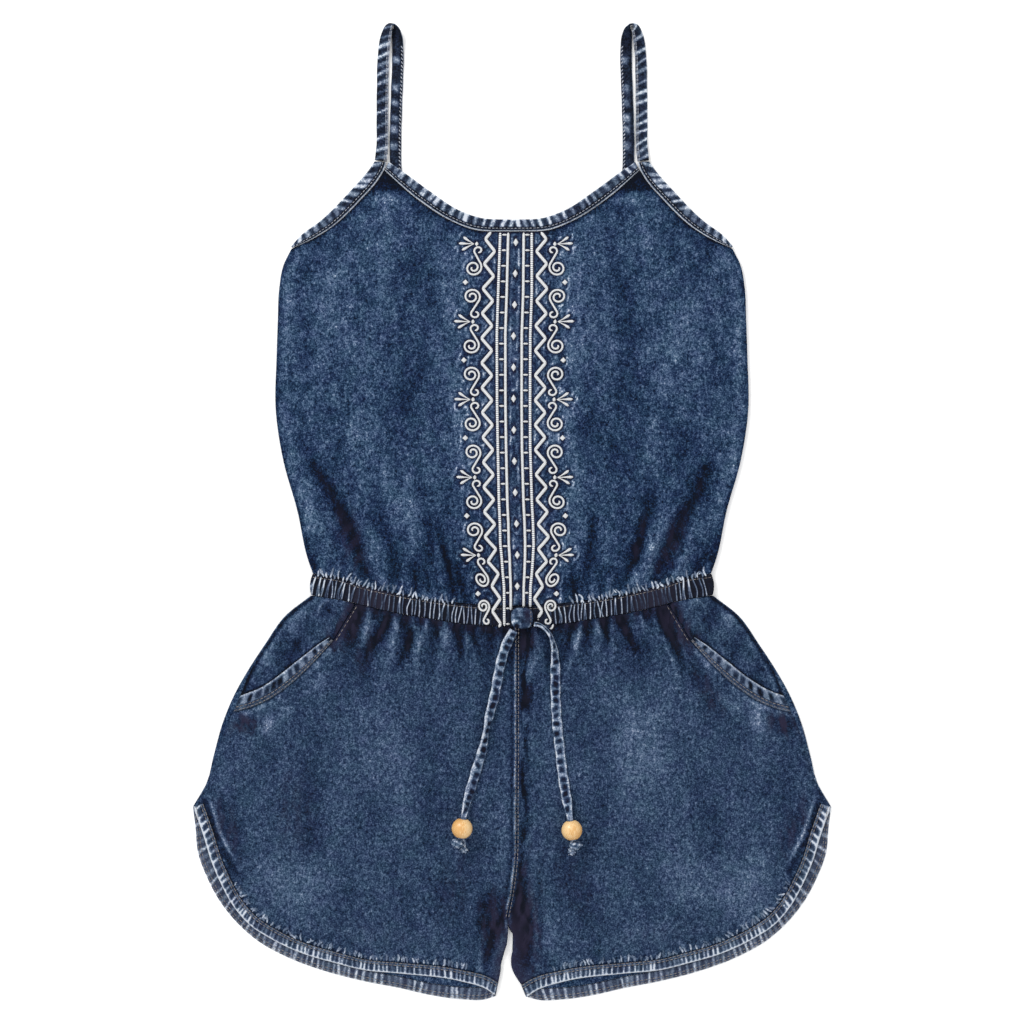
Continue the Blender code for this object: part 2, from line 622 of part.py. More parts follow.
def make_knot(side, bead, way, bead_z, trees):
    """The knot that stops the bead, and the frayed end that hangs out of it."""
    table = [
        # along, half width, half height, share of the drop to the cloth
        (0.75, 1.4, 1.1, 0.0), (1.6, 3.6, 2.6, 0.05), (3.2, 4.4, 3.1, 0.2), (4.8, 3.6, 2.4, 0.42),
        (6.2, 1.8, 1.3, 0.66), (8.0, 1.9, 0.9, 0.9), (10.2, 2.2, 0.7, 1.0),
    ]
    across = np.array([-way[1], way[0]])
    rings = []
    for along, wide, high, drop in table:
        middle = bead + way * (BEAD_RADIUS + along) + across * TIES[side]["tail"] * drop**2
        floor = highest_under(trees, middle, wide) + GAP + high
        z = bead_z + (floor - bead_z) * drop
        rings.append([(*(middle + across * wide * math.cos(a)), max(z, floor) + high * math.sin(a))
                      for a in np.arange(8) * math.pi / 4])
    lofted(f"knot_{side}", np.array(rings), DENIM["tie"])


def make_tie_knot():
    """The soft half knot in which the two ties cross at the front of the waist."""
    (cx, cy), (wide, long, high) = TIE_KNOT["centre"], TIE_KNOT["size"]
    rings = []
    for t in np.linspace(-1.0, 1.0, 9):
        swell = max(1.0 - abs(t) ** 3.2, 0.0) ** 0.5 * 0.82 + 0.18
        ring = []
        for a in np.arange(12) * math.pi / 6:
            y = long / 2 * swell * np.sign(math.cos(a)) * abs(math.cos(a)) ** 0.7
            z = high / 2 * swell * np.sign(math.sin(a)) * abs(math.sin(a)) ** 0.8
            ring.append((cx + t * wide / 2, cy + y, TIE_KNOT["lift"] + high / 2 + z))
        rings.append(ring)
    lofted("tie_knot", np.array(rings), DENIM["tie"])


# ================================================================ the garment

for old in list(bpy.data.objects):
    bpy.data.objects.remove(old, do_unlink=True)

JUMPSUIT = bpy.data.collections.new("short_jumpsuit")
bpy.context.scene.collection.children.link(JUMPSUIT)

DENIM = {
    "bodice": finish("washed_denim", "3a5078", 0.86),
    "shorts": finish("washed_denim_shorts", "374c72", 0.86),
    "binding": finish("bound_denim", "4a5a7e", 0.86),
    "casing": finish("gathered_denim", "3d4c6c", 0.88),
    "hem": finish("hem_denim", "52648a", 0.86),
    "tie": finish("tie_denim", "5a6c8e", 0.86),
}
WOOD = finish("light_wood", "e6b070", 0.45)
SIDES = {"left": np.array, "right": mirrored}

make_front_bodice()
make_back_bodice()
make_bindings()
make_straps()
make_casings()
for each_side in SIDES:
    make_shorts(each_side)
    make_pocket(each_side)
SURFACE = cloth_surface()
make_tie_knot()
for each_side in SIDES:
    make_tie(each_side, SURFACE)
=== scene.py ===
# Looks of a child's short jumpsuit in stone-washed denim, laid flat on its back with the front up.
# Lengths in the tables are millimetres: +X to the right, +Y towards the straps, +Z up off the floor.

import math

import bpy
import numpy as np
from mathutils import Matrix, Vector
from mathutils.kdtree import KDTree


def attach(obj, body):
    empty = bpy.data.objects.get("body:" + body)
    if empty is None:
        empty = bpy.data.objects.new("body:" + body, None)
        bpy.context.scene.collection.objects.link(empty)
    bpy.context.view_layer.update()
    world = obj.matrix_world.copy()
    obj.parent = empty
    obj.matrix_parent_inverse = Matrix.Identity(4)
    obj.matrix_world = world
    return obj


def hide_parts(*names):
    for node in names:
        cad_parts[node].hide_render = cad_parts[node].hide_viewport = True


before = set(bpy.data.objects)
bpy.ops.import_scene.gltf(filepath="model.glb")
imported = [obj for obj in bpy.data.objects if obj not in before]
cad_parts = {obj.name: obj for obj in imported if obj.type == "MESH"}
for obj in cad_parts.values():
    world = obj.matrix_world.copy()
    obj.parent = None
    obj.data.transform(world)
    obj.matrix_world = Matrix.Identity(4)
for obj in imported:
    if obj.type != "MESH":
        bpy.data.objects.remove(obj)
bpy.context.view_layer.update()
mm = 0.001

# lines in plan


def resample(line, count):
    run = np.concatenate([[0.0], np.cumsum(np.linalg.norm(np.diff(line, axis=0), axis=1))])
    wanted = np.linspace(0.0, run[-1], count + 1)
    return np.stack([np.interp(wanted, run, line[:, k]) for k in range(line.shape[1])], 1)


def smoothLine(points, count):
    given = np.array(points, float)
    at = np.concatenate([[0.0], np.cumsum(np.linalg.norm(np.diff(given, axis=0), axis=1))])
    slope = np.gradient(given, at, axis=0)
    t = np.linspace(0.0, 1.0, 17)[:-1, None]
    fine = []
    for i in range(len(given) - 1):
        h = at[i + 1] - at[i]
        fine.append((2 * t**3 - 3 * t**2 + 1) * given[i] + (t**3 - 2 * t**2 + t) * h * slope[i]
                    + (3 * t**2 - 2 * t**3) * given[i + 1] + (t**3 - t**2) * h * slope[i + 1])
    return resample(np.concatenate(fine + [given[-1:]]), count)


def lineLength(line):
    return float(np.linalg.norm(np.diff(line, axis=0), axis=1).sum())


def leftOf(line):
    way = np.gradient(line, axis=0)
    way /= np.linalg.norm(way, axis=1)[:, None]
    return np.stack([-way[:, 1], way[:, 0]], 1)


def movedOver(line, distance):
    return line + np.reshape(distance, (-1, 1)) * leftOf(line)


def mirrored(line):
    return np.array(line, float) * (-1.0, 1.0)


def bothHalves(points, count):
    half = smoothLine(points, count)
    return np.concatenate([half, mirrored(half)[-2::-1]])


# The line at the given shares of its length.
def sampled(line, shares):
    run = np.concatenate([[0.0], np.cumsum(np.linalg.norm(np.diff(line, axis=0), axis=1))])
    return np.stack([np.interp(np.asarray(shares) * run[-1], run, line[:, k])
                     for k in range(line.shape[1])], 1)


# Shares of a length with fine steps near its ends and coarse ones between, a multiple of 4 of them.
def closerAt(length, fine, coarse, fromStart, fromEnd):
    steps, here = [0.0], 0.0
    while here < length:
        near = max(1.0 - here / fromStart if fromStart else 0.0,
                   1.0 - (length - here) / fromEnd if fromEnd else 0.0)
        here += coarse + (fine - coarse) * float(ease(np.array(near * 2.0)))
        steps.append(here)
    count = int(math.ceil((len(steps) - 1) / 4) * 4)
    return np.interp(np.linspace(0.0, 1.0, count + 1), np.linspace(0.0, 1.0, len(steps)),
                     np.array(steps) / steps[-1])


def patch(bottom, top, start, end, shares=None):
    u = np.linspace(0.0, 1.0, len(bottom))[None, :, None]
    v = np.linspace(0.0, 1.0, len(start)) if shares is None else shares
    v = v[:, None, None]
    ruled = (1 - v) * bottom[None] + v * top[None]
    swept = (1 - u) * start[:, None] + u * end[:, None]
    corners = ((1 - u) * (1 - v) * bottom[0] + u * (1 - v) * bottom[-1]
               + (1 - u) * v * top[0] + u * v * top[-1])
    return ruled + swept - corners


def ease(t):
    t = np.clip(t, 0.0, 1.0)
    return t * t * (3 - 2 * t)


# A bell round 0, down to 0.37 at the given width; a higher power gives it a flatter top.
def bell(away, width, power=2):
    return np.exp(-(away / width)**power)


# How far each place is from the nearest of some lines.
def awayFrom(lines, xy):
    return np.min([alongAndAway(line, xy)[1] for line in lines], axis=0)


# Run along the line to the nearest point of it, and the distance from it.
def alongAndAway(line, xy, block=20000):
    a, step = line[:-1], np.diff(line, axis=0)
    size = np.linalg.norm(step, axis=1)
    start = np.concatenate([[0.0], np.cumsum(size)])[:-1]
    flat = xy.reshape(-1, 2)
    along, away = np.empty(len(flat)), np.empty(len(flat))
    for k in range(0, len(flat), block):
        offset = flat[k:k + block, None] - a
        t = np.clip((offset * step).sum(-1) / np.maximum(size**2, 1e-9), 0.0, 1.0)
        gap = np.linalg.norm(offset - t[..., None] * step, axis=-1)
        best = gap.argmin(1)
        rows = np.arange(len(best))
        along[k:k + block] = start[best] + t[rows, best] * size[best]
        away[k:k + block] = gap[rows, best]
    return along.reshape(xy.shape[:-1]), away.reshape(xy.shape[:-1])


# the cut, as the frame has it: half of each line that is the same on both sides. The third number of
# the shorts' side is how far the front lies inside the back's edge.

cloth = {"wall": 1.2, "gap": 0.3, "frontBase": 1.5, "casingBase": 2.2, "casingWall": 1.9,
         "casingFolds": 0.9, "puff": 1.5, "puffReach": 32.0, "waistReach": 16.0, "thinnest": 0.5,
         "hemWidth": 7.6, "hemBlend": 14, "backTop": 180.0}

cut = {
    "casingTop": [(-139.5, -44.0), (-120.5, -46.9), (-106.5, -51.6), (-87.0, -56.3),
                  (-59.0, -61.6), (-26.5, -65.5), (0.0, -66.5)],
    "casingBottom": [(-140.5, -58.8), (-117.5, -62.7), (-99.5, -67.2), (-80.5, -71.4),
                     (-59.0, -74.9), (-38.0, -78.4), (-22.5, -79.8), (0.0, -81.2)],
    "bodiceSide": [(-139.5, -43.4), (-142.8, -34.3), (-150.5, 0.7), (-160.3, 35.7), (-165.5, 70.7),
                   (-164.9, 108.5), (-164.1, 132.3), (-163.1, 155.4), (-160.3, 171.5),
                   (-154.2, 184.2)],
    "armholeInner": [(-153.6, 184.5), (-141.5, 189.7), (-127.4, 198.1), (-106.4, 217.7),
                     (-92.4, 234.3), (-89.6, 239.4)],
    "armholeTop": (-88.3, 244.3),
    "armholeOuter": [(-154.8, 185.2), (-148.6, 192.4), (-134.4, 203.0), (-113.4, 224.0),
                     (-99.4, 240.1), (-96.2, 244.9)],
    "neckLower": [(-89.0, 238.6), (-78.4, 228.7), (-65.1, 217.7), (-44.1, 204.1), (-27.3, 197.4),
                  (0.0, 195.8)],
    "neckUpper": [(-86.2, 244.6), (-77.0, 238.2), (-58.1, 224.4), (-37.1, 210.7), (-23.1, 205.6),
                  (0.0, 204.1)],
    "shortsSide": [(-141.0, -59.4, 1.0), (-159.6, -74.2, 1.0), (-172.9, -93.1, 1.0),
                   (-184.8, -111.3, 1.9), (-195.3, -130.2, 4.5), (-203.0, -149.1, 3.8),
                   (-209.3, -172.2, 2.0), (-214.2, -191.1, 1.2), (-219.8, -200.9, 1.0),
                   (-223.4, -206.7, 1.0)],
    "pocketSeam": [(-109.9, -65.6), (-118.4, -79.8), (-125.0, -90.5)],
    "pocketLower": [(-125.0, -90.5), (-141.1, -108.5), (-158.2, -123.9), (-172.9, -133.6),
                    (-184.8, -138.4), (-195.4, -141.0)],
    "pocketUpper": [(-127.9, -88.4), (-136.5, -94.0), (-150.5, -105.0), (-165.2, -116.6),
                    (-177.5, -124.4), (-190.4, -129.5)],
    "frontHem": [(-223.3, -207.4), (-216.3, -227.5), (-210.7, -245.7), (-204.4, -260.4),
                 (-194.6, -277.9), (-184.1, -289.8), (-168.0, -300.3), (-146.7, -310.1),
                 (-125.3, -316.4), (-103.6, -321.7), (-78.4, -324.1), (-35.7, -329.7),
                 (-18.2, -335.3), (-12.6, -339.3)],
    "backHem": [(-223.9, -207.3), (-222.3, -219.1), (-219.8, -241.5), (-214.2, -256.2),
                (-205.8, -272.3), (-191.8, -289.8), (-178.9, -301.0), (-157.5, -312.9),
                (-130.9, -322.7), (-103.6, -329.7), (-78.4, -334.6), (-56.7, -339.5),
                (-35.7, -342.3), (-19.6, -342.3), (-12.2, -339.9)],
    "centreSeam": [(3.5, -81.2), (3.5, -132.3), (3.2, -202.3), (2.1, -251.3), (-0.7, -270.9),
                   (-3.4, -284.9), (-2.5, -292.6)],
    "innerLeg": {"left": [(-2.5, -292.6), (-3.5, -303.8), (-7.5, -314.3), (-7.7, -321.3),
                          (-9.6, -330.6)],
                 "right": [(-2.5, -292.6), (1.4, -298.0), (0.7, -305.9), (-0.9, -313.5),
                           (-0.4, -320.0), (2.4, -326.0), (6.5, -332.0)]},
    "innerHemEnd": {"left": {"front": (-12.4, -339.0), "back": (-11.6, -340.2)},
                    "right": {"front": (10.0, -340.9), "back": (10.6, -340.7)}},
}
sides = {"left": np.array, "right": mirrored}
inward = {"left": 1.0, "right": -1.0}    # which way off a hem's line the panel lies

waistTop = bothHalves(cut["casingTop"], 40)
waistBottom = bothHalves(cut["casingBottom"], 40)
freeEdges = [turn(smoothLine(table, 24)) for turn in sides.values()
             for table in (cut["bodiceSide"], cut["armholeOuter"], cut["frontHem"],
                           [row[:2] for row in cut["shortsSide"]])]
freeEdges += [bothHalves(cut["neckUpper"], 20)]
freeEdges += [smoothLine(line, 12) for line in cut["innerLeg"].values()]


# Height of the under face of the front cloth, which lies down on the back at every free edge.
def frontUnder(xy):
    edge = awayFrom(freeEdges, xy)
    waist = awayFrom((waistTop, waistBottom), xy)
    held = ease(1.0 - waist / cloth["waistReach"])
    puff = cloth["puff"] * ease(edge / cloth["puffReach"])
    free = cloth["frontBase"] + puff
    return free + held * (cloth["casingBase"] + 0.5 * puff - free), edge


# nodes and materials


def linear(code):
    value = [int(code[i:i + 2], 16) / 255 for i in (0, 2, 4)]
    return [c / 12.92 if c <= 0.04045 else ((c + 0.055) / 1.055) ** 2.4 for c in value] + [1.0]


def addNode(tree, kind, settings=None, links=None):
    node = tree.nodes.new(kind)
    for key, value in (settings or {}).items():
        if isinstance(key, str) and hasattr(node, key):
            setattr(node, key, value)
        else:
            node.inputs[key].default_value = value
    for key, source in (links or {}).items():
        tree.links.new(source, node.inputs[key])
    return node


def startFinish(name):
    material = bpy.data.materials.new(name)
    material.use_nodes = True
    tree = material.node_tree
    return material, tree, tree.nodes["Principled BSDF"]


def setInputs(shader, values):
    for socket, value in values.items():
        shader.inputs[socket].default_value = value


def rampStops(node, stops):
    band = node.color_ramp
    while len(band.elements) < len(stops):
        band.elements.new(0.5)
    for element, (place, code) in zip(band.elements, stops):
        element.position = place
        element.color = linear(code)


# Cotton twill, yarn-dyed with indigo and stone washed: the dye is rubbed off the raised yarns and
# the ridges of every pucker, so the eye sees a mottled grey-blue with pale edges and navy hollows;
# these are partly that wear and partly painted light and shade.
washedDenim = {
    "stops": [(0.0, "040814"), (0.12, "051228"), (0.25, "0b1d37"), (0.4, "1c2f4a"),
              (0.5, "2b3e58"), (0.62, "3f536e"), (0.78, "5b6b83"), (0.9, "8290a6"),
              (1.0, "b4bcc8")],
    "brownStainAndShade": "232034",        # brown-violet: real brown stains, and painted shade in troughs, pinches and puckers
    "shader": {"Roughness": 0.92, "IOR": 1.5, "Sheen Weight": 0.03, "Sheen Tint": linear("a9bcdc"),
               "Sheen Roughness": 0.5, "Specular IOR Level": 0.1},
    "noises": [
        # size in mm, share, detail, height to width; a real yarn of 0.4 mm wouldn't show, so the
        # fleck is drawn as coarse as it needs to
        ("fleck", 0.95, 1.05, 1.0, 1.1), ("slub", 2.1, 0.95, 3.0, 1.3),
        ("blotch", 7.0, 0.34, 2.0, 1.5), ("cloud", 30.0, 0.24, 2.5, 2.4)],
    "hueMm": 9.0, "hueShift": 0.035,
    "twillMm": 1.5,            # real twill lines, 0.7 mm apart, are too fine to show
    "fadeShare": 0.42, "weaveShare": 0.25, "bump": {"Strength": 0.6, "Distance": 0.0004},
}


def stoneWashedDenim(name, level=0.5, contrast=1.0, turn=0.0, cloudy=1.0, blueness=1.0):
    d = washedDenim
    material, tree, shader = startFinish(name)
    place = addNode(tree, "ShaderNodeTexCoord").outputs["Object"]
    turned = addNode(tree, "ShaderNodeMapping", {"Rotation": (0.0, 0.0, turn)}, {"Vector": place})
    total = None
    for kind, size, share, detail, tall in d["noises"]:
        share *= contrast * (cloudy if kind in ("blotch", "cloud") else 1.0)
        stretched = addNode(tree, "ShaderNodeMapping", {"Scale": (1.0, 1.0 / tall, 1.0)},
                            {"Vector": turned.outputs["Vector"]})
        noise = addNode(tree, "ShaderNodeTexNoise",
                        {"Scale": 1.0 / (size * mm), "Detail": detail, "Roughness": 0.55},
                        {"Vector": stretched.outputs["Vector"]})
        spread = addNode(tree, "ShaderNodeMath", {"operation": "MULTIPLY_ADD", 1: share, 2: -0.5 * share},
                         {0: noise.outputs["Fac"]})
        if total is None:
            total = spread
        else:
            total = addNode(tree, "ShaderNodeMath", {"operation": "ADD"},
                            {0: total.outputs[0], 1: spread.outputs[0]})
    # The 'fade' attribute makes the tone paler or darker and the next one mixes in brown-violet: real wash
    # wear and stains, and also painted light on ridges and painted shade in troughs, seams and beside
    # raised edges.
    fade = addNode(tree, "ShaderNodeAttribute", {"attribute_name": "fade"})
    faded = addNode(tree, "ShaderNodeMath", {"operation": "MULTIPLY_ADD", 1: d["fadeShare"]},
                    {0: fade.outputs["Fac"], 2: total.outputs[0]})
    tone = addNode(tree, "ShaderNodeMath", {"operation": "ADD", 1: level}, {0: faded.outputs[0]})
    ramp = addNode(tree, "ShaderNodeValToRGB", links={"Fac": tone.outputs[0]})
    rampStops(ramp, d["stops"])
    brownStainAndShade = addNode(tree, "ShaderNodeAttribute", {"attribute_name": "brownStainAndShade"})
    brown = addNode(tree, "ShaderNodeMix", {"data_type": "RGBA", "blend_type": "MIX",
                                            7: linear(d["brownStainAndShade"])},
                    {0: brownStainAndShade.outputs["Fac"], 6: ramp.outputs["Color"]})
    drift = addNode(tree, "ShaderNodeTexNoise", {"Scale": 1.0 / (d["hueMm"] * mm), "Detail": 1.0},
                    {"Vector": place})
    hue = addNode(tree, "ShaderNodeMath", {"operation": "MULTIPLY_ADD", 1: d["hueShift"],
                                           2: 0.5 - 0.5 * d["hueShift"]}, {0: drift.outputs["Fac"]})
    colour = addNode(tree, "ShaderNodeHueSaturation", {"Saturation": blueness},
                     {"Hue": hue.outputs[0], "Color": brown.outputs[2]})
    tree.links.new(colour.outputs["Color"], shader.inputs["Base Color"])
    twill = addNode(tree, "ShaderNodeTexWave",
                    {"wave_type": "BANDS", "bands_direction": "DIAGONAL", "Distortion": 1.2,
                     "Scale": 1.0 / (d["twillMm"] * mm) / 20.0, "Detail": 1.0},
                    {"Vector": turned.outputs["Vector"]})
    weave = addNode(tree, "ShaderNodeMath", {"operation": "MULTIPLY_ADD", 1: d["weaveShare"]},
                    {0: twill.outputs["Fac"], 2: total.outputs[0]})
    bump = addNode(tree, "ShaderNodeBump", d["bump"], {"Height": weave.outputs[0]})
    tree.links.new(bump.outputs["Normal"], shader.inputs["Normal"])
    setInputs(shader, d["shader"])
    return material


# Spun polyester sewing thread: small dull strands, twisted, paler on top.
spunThread = {
    "noise": {"Scale": 900.0, "Detail": 1.0},    # a patch of light or shade every 1.1 mm
    "bump": {"Strength": 0.4, "Distance": 0.0002}, "shader": {"Roughness": 0.7},
}


def sewingThread(name, dark, pale):
    material, tree, shader = startFinish(name)
    place = addNode(tree, "ShaderNodeTexCoord").outputs["Object"]
    noise = addNode(tree, "ShaderNodeTexNoise", spunThread["noise"], {"Vector": place})
    ramp = addNode(tree, "ShaderNodeValToRGB", links={"Fac": noise.outputs["Fac"]})
    rampStops(ramp, [(0.35, dark), (0.65, pale)])
    bump = addNode(tree, "ShaderNodeBump", spunThread["bump"], {"Height": noise.outputs["Fac"]})
    tree.links.new(ramp.outputs["Color"], shader.inputs["Base Color"])
    tree.links.new(bump.outputs["Normal"], shader.inputs["Normal"])
    setInputs(shader, spunThread["shader"])
    return material


# Rayon embroidery thread laid as satin stitch: a cool off-white with a soft lustre across the strands,
# painted grey as shade between the strands and paler as a highlight on each.
rayonThread = {
    "lit": "dededb", "bump": {"Strength": 0.6, "Distance": 0.0003},
    "shader": {"Roughness": 0.42, "Sheen Weight": 0.1},
}


def satinThread(name, strandMm, between, strand):
    material, tree, shader = startFinish(name)
    laid = addNode(tree, "ShaderNodeUVMap", {"uv_map": "laid"})
    strands = addNode(tree, "ShaderNodeTexWave",
                      {"wave_type": "BANDS", "bands_direction": "X",
                       "Scale": 2 * math.pi / 20 / strandMm, "Distortion": 0.5},
                      {"Vector": laid.outputs["UV"]})
    ramp = addNode(tree, "ShaderNodeValToRGB", links={"Fac": strands.outputs["Fac"]})
    # Painted shade between the strands, painted highlight on each strand's crest.
    rampStops(ramp, [(0.0, between), (0.45, strand), (1.0, rayonThread["lit"])])
    bump = addNode(tree, "ShaderNodeBump", rayonThread["bump"], {"Height": strands.outputs["Fac"]})
    tree.links.new(ramp.outputs["Color"], shader.inputs["Base Color"])
    tree.links.new(bump.outputs["Normal"], shader.inputs["Normal"])
    setInputs(shader, rayonThread["shader"])
    return material


# Turned beech with a clear lacquer: warm straw yellow, faint rings and short pores, a soft gloss.
turnedBeech = {
    "rings": {"wave_type": "RINGS", "rings_direction": "Y", "Scale": 22.0, "Distortion": 3.0,
              "Detail": 2.0, "Detail Scale": 60.0},    # a ring every 2.3 mm
    "pores": {"Scale": 1400.0, "Detail": 2.0},         # 0.7 mm apart
    "stops": [(0.15, "c59352"), (0.6, "d0a366"), (1.0, "d8b581")],
    "shader": {"Roughness": 0.42, "Coat Weight": 0.35, "Coat Roughness": 0.2},
}


def lacqueredBeech(turn):
    material, tree, shader = startFinish("lacquered_beech")
    place = addNode(tree, "ShaderNodeTexCoord").outputs["Object"]
    laid = addNode(tree, "ShaderNodeMapping", {"Rotation": (0.3, 0.2, turn), "Scale": (1.0, 0.25, 1.0)},
                   {"Vector": place})
    rings = addNode(tree, "ShaderNodeTexWave", turnedBeech["rings"], {"Vector": laid.outputs["Vector"]})
    pores = addNode(tree, "ShaderNodeTexNoise", turnedBeech["pores"], {"Vector": laid.outputs["Vector"]})
    grain = addNode(tree, "ShaderNodeMath", {"operation": "MULTIPLY_ADD", 1: 0.5},
                    {0: pores.outputs["Fac"], 2: rings.outputs["Fac"]})
    ramp = addNode(tree, "ShaderNodeValToRGB", links={"Fac": grain.outputs[0]})
    rampStops(ramp, turnedBeech["stops"])
    tree.links.new(ramp.outputs["Color"], shader.inputs["Base Color"])
    setInputs(shader, turnedBeech["shader"])
    return material


finishes = {
    "bodice": stoneWashedDenim("washed_denim_bodice", level=0.437, cloudy=1.5),
    "shorts": stoneWashedDenim("washed_denim_shorts", level=0.42, contrast=0.88, cloudy=0.8,
                               blueness=0.95),
    "back": stoneWashedDenim("washed_denim_back", level=0.42),
    "binding": stoneWashedDenim("washed_denim_binding", level=0.49, contrast=0.75, turn=0.78,
                                blueness=0.78),
    "casing": stoneWashedDenim("washed_denim_casing", level=0.42, contrast=0.5, blueness=0.8),
    "hem": stoneWashedDenim("washed_denim_hem", level=0.48, contrast=0.6, blueness=0.82),
    "tie": stoneWashedDenim("washed_denim_tie", level=0.5, contrast=0.7, blueness=0.92),
}
seamThread = sewingThread("tobacco_sewing_thread", "4c4749", "8a8480")
paleThread = sewingThread("pale_sewing_thread", "6e7584", "a9adb8")
satin = satinThread("rayon_satin_thread", 0.9, "999da3", "c6c8cb")
cord = satinThread("rayon_corded_thread", 1.5, "6a727e", "c4c6ca")

# meshes


def buildMesh(name, points, faces, finish, marks=None, laid=None):
    faces = faces if isinstance(faces, list) else [faces]
    corners = np.concatenate([some.ravel() for some in faces]).astype(np.int32)
    sizes = np.concatenate([np.full(len(some), some.shape[1]) for some in faces])
    mesh = bpy.data.meshes.new(name)
    mesh.vertices.add(len(points))
    mesh.vertices.foreach_set("co", (points * mm).astype(np.float32).ravel())
    mesh.loops.add(len(corners))
    mesh.loops.foreach_set("vertex_index", corners)
    mesh.polygons.add(len(sizes))
    mesh.polygons.foreach_set("loop_start", (np.cumsum(sizes) - sizes).astype(np.int32))
    for key, values in (marks or {}).items():
        layer = mesh.attributes.new(key, "FLOAT", "POINT")
        layer.data.foreach_set("value", values.astype(np.float32).ravel())
    if laid is not None:
        layer = mesh.uv_layers.new(name="laid")
        layer.data.foreach_set("uv", laid[corners].astype(np.float32).ravel())
    mesh.update(calc_edges=True)
    mesh.validate()
    mesh.shade_smooth()
    mesh.materials.append(finish)
    piece = bpy.data.objects.new(name, mesh)
    bpy.context.scene.collection.objects.link(piece)
    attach(piece, "root")
    return piece


def ringOf(index):
    return np.concatenate([index[0], index[1:, -1], index[-1, -2::-1], index[-2:0:-1, 0]])


# Faces of a closed shell; its under face has every step-th row and column of the upper one.
def shellFaces(rows, columns, step):
    fine = np.arange(rows * columns).reshape(rows, columns)
    low = rows * columns + np.arange(((rows - 1) // step + 1) * ((columns - 1) // step + 1))
    low = low.reshape((rows - 1) // step + 1, -1)
    up = np.stack([fine[:-1, :-1], fine[:-1, 1:], fine[1:, 1:], fine[1:, :-1]], -1).reshape(-1, 4)
    down = np.stack([low[:-1, :-1], low[1:, :-1], low[1:, 1:], low[:-1, 1:]], -1).reshape(-1, 4)
    rim, below = ringOf(fine), ringOf(low)
    above = rim[(np.arange(len(below))[:, None] * step + np.arange(step + 1)) % len(rim)]
    side = np.concatenate([above[:, :1], below[:, None], np.roll(below, -1)[:, None],
                           above[:, :0:-1]], 1)
    return [up, down, side]


# A closed piece of cloth. A level one is turned so that its upper face looks up.
def shell(name, upper, under, finish, fade, brownStainAndShade, step=4, level=True):
    rows, columns = upper.shape[:2]
    faces = shellFaces(rows, columns, step)
    middle = upper[rows // 2, columns // 2]
    right, above = upper[rows // 2, columns // 2 + 1], upper[rows // 2 + 1, columns // 2]
    if level and np.cross(right - middle, above - middle)[2] < 0:
        faces = [some[:, ::-1] for some in faces]
    under = under[::step, ::step]
    points = np.concatenate([upper.reshape(-1, 3), under.reshape(-1, 3)])
    marks = {}
    for key, values in (("fade", fade), ("brownStainAndShade", brownStainAndShade)):
        values = np.broadcast_to(values, upper.shape[:2])
        marks[key] = np.concatenate([values.ravel(), values[::step, ::step].ravel()])
    return buildMesh(name, points, faces, finish, marks)


# Faces of rings of points joined in turn, with both ends closed by quads.
def tubeFaces(rings, around):
    index = np.arange(rings * around).reshape(rings, around)
    after = np.roll(index, -1, 1)
    sides = np.stack([index[:-1], after[:-1], after[1:], index[1:]], -1).reshape(-1, 4)
    ends = [[index[row, k], index[row, around - 1 - k], index[row, around - 2 - k],
             index[row, k + 1]][::way]
            for row, way in ((0, 1), (rings - 1, -1)) for k in range(around // 2 - 1)]
    return np.concatenate([sides, np.array(ends)])


def raised(xy, z):
    return np.concatenate([xy, np.broadcast_to(z, xy.shape[:-1])[..., None]], -1)


# Soft ridges and troughs along given lines: points, half width, height.
def creases(xy, table, rooted=False):
    height = np.zeros(xy.shape[:-1])
    for points, width, peak in table:
        line = smoothLine(points, 14)
        along, away = alongAndAway(line, xy)
        t = along / lineLength(line)
        fade = ease((1.0 - t) * 1.25) if rooted else ease(t * 3.0) * ease((1.0 - t) * 3.0)
        height += peak * fade * bell(away, width)
    return height


# Small uneven folds that start at a sewn line and die out away from it.
def gathers(line, xy, spec):
    along, away = alongAndAway(line, xy)
    chance = np.random.default_rng(spec["seed"])
    height, here, end = np.zeros(xy.shape[:-1]), spec["pitch"] * 0.5, lineLength(line)
    while here < end:
        peak = spec["height"] * chance.uniform(0.3, 1.2)
        width = spec["width"] * chance.uniform(0.7, 1.4)
        reach = spec["reach"] * chance.uniform(0.4, 1.4)
        lean, curl = chance.normal(0.0, spec["lean"]), chance.normal(0.0, spec.get("curl", 0.0))
        off = along - here - lean * away - curl * np.sin(away / 1.9)
        height += peak * bell(off, width) * bell(away, reach, 1.6)
        here += spec["pitch"] * chance.uniform(0.65, 1.35)
    level = spec["height"] * 0.75 * spec["width"] * 1.77 / spec["pitch"]    # the folds' mean height
    return height - level * bell(away, spec["reach"], 1.6)


def seeded(spec, shift):
    return {**spec, "seed": spec["seed"] + shift}


# Slow unevenness of cloth that has been washed and laid down, longer along Y than across.
def swells(xy, seed, height, shortest, longest):
    chance = np.random.default_rng(seed)
    total = np.zeros(xy.shape[:-1])
    for _ in range(26):
        size = chance.uniform(shortest, longest)
        turn = chance.normal(0.0, 0.42)
        wave = 2 * math.pi / size
        total += (size / longest) * np.cos(wave * (xy[..., 0] * math.cos(turn)
                                                   + xy[..., 1] * math.sin(turn))
                                           + chance.uniform(0.0, 6.3))
    return height * total / 3.2


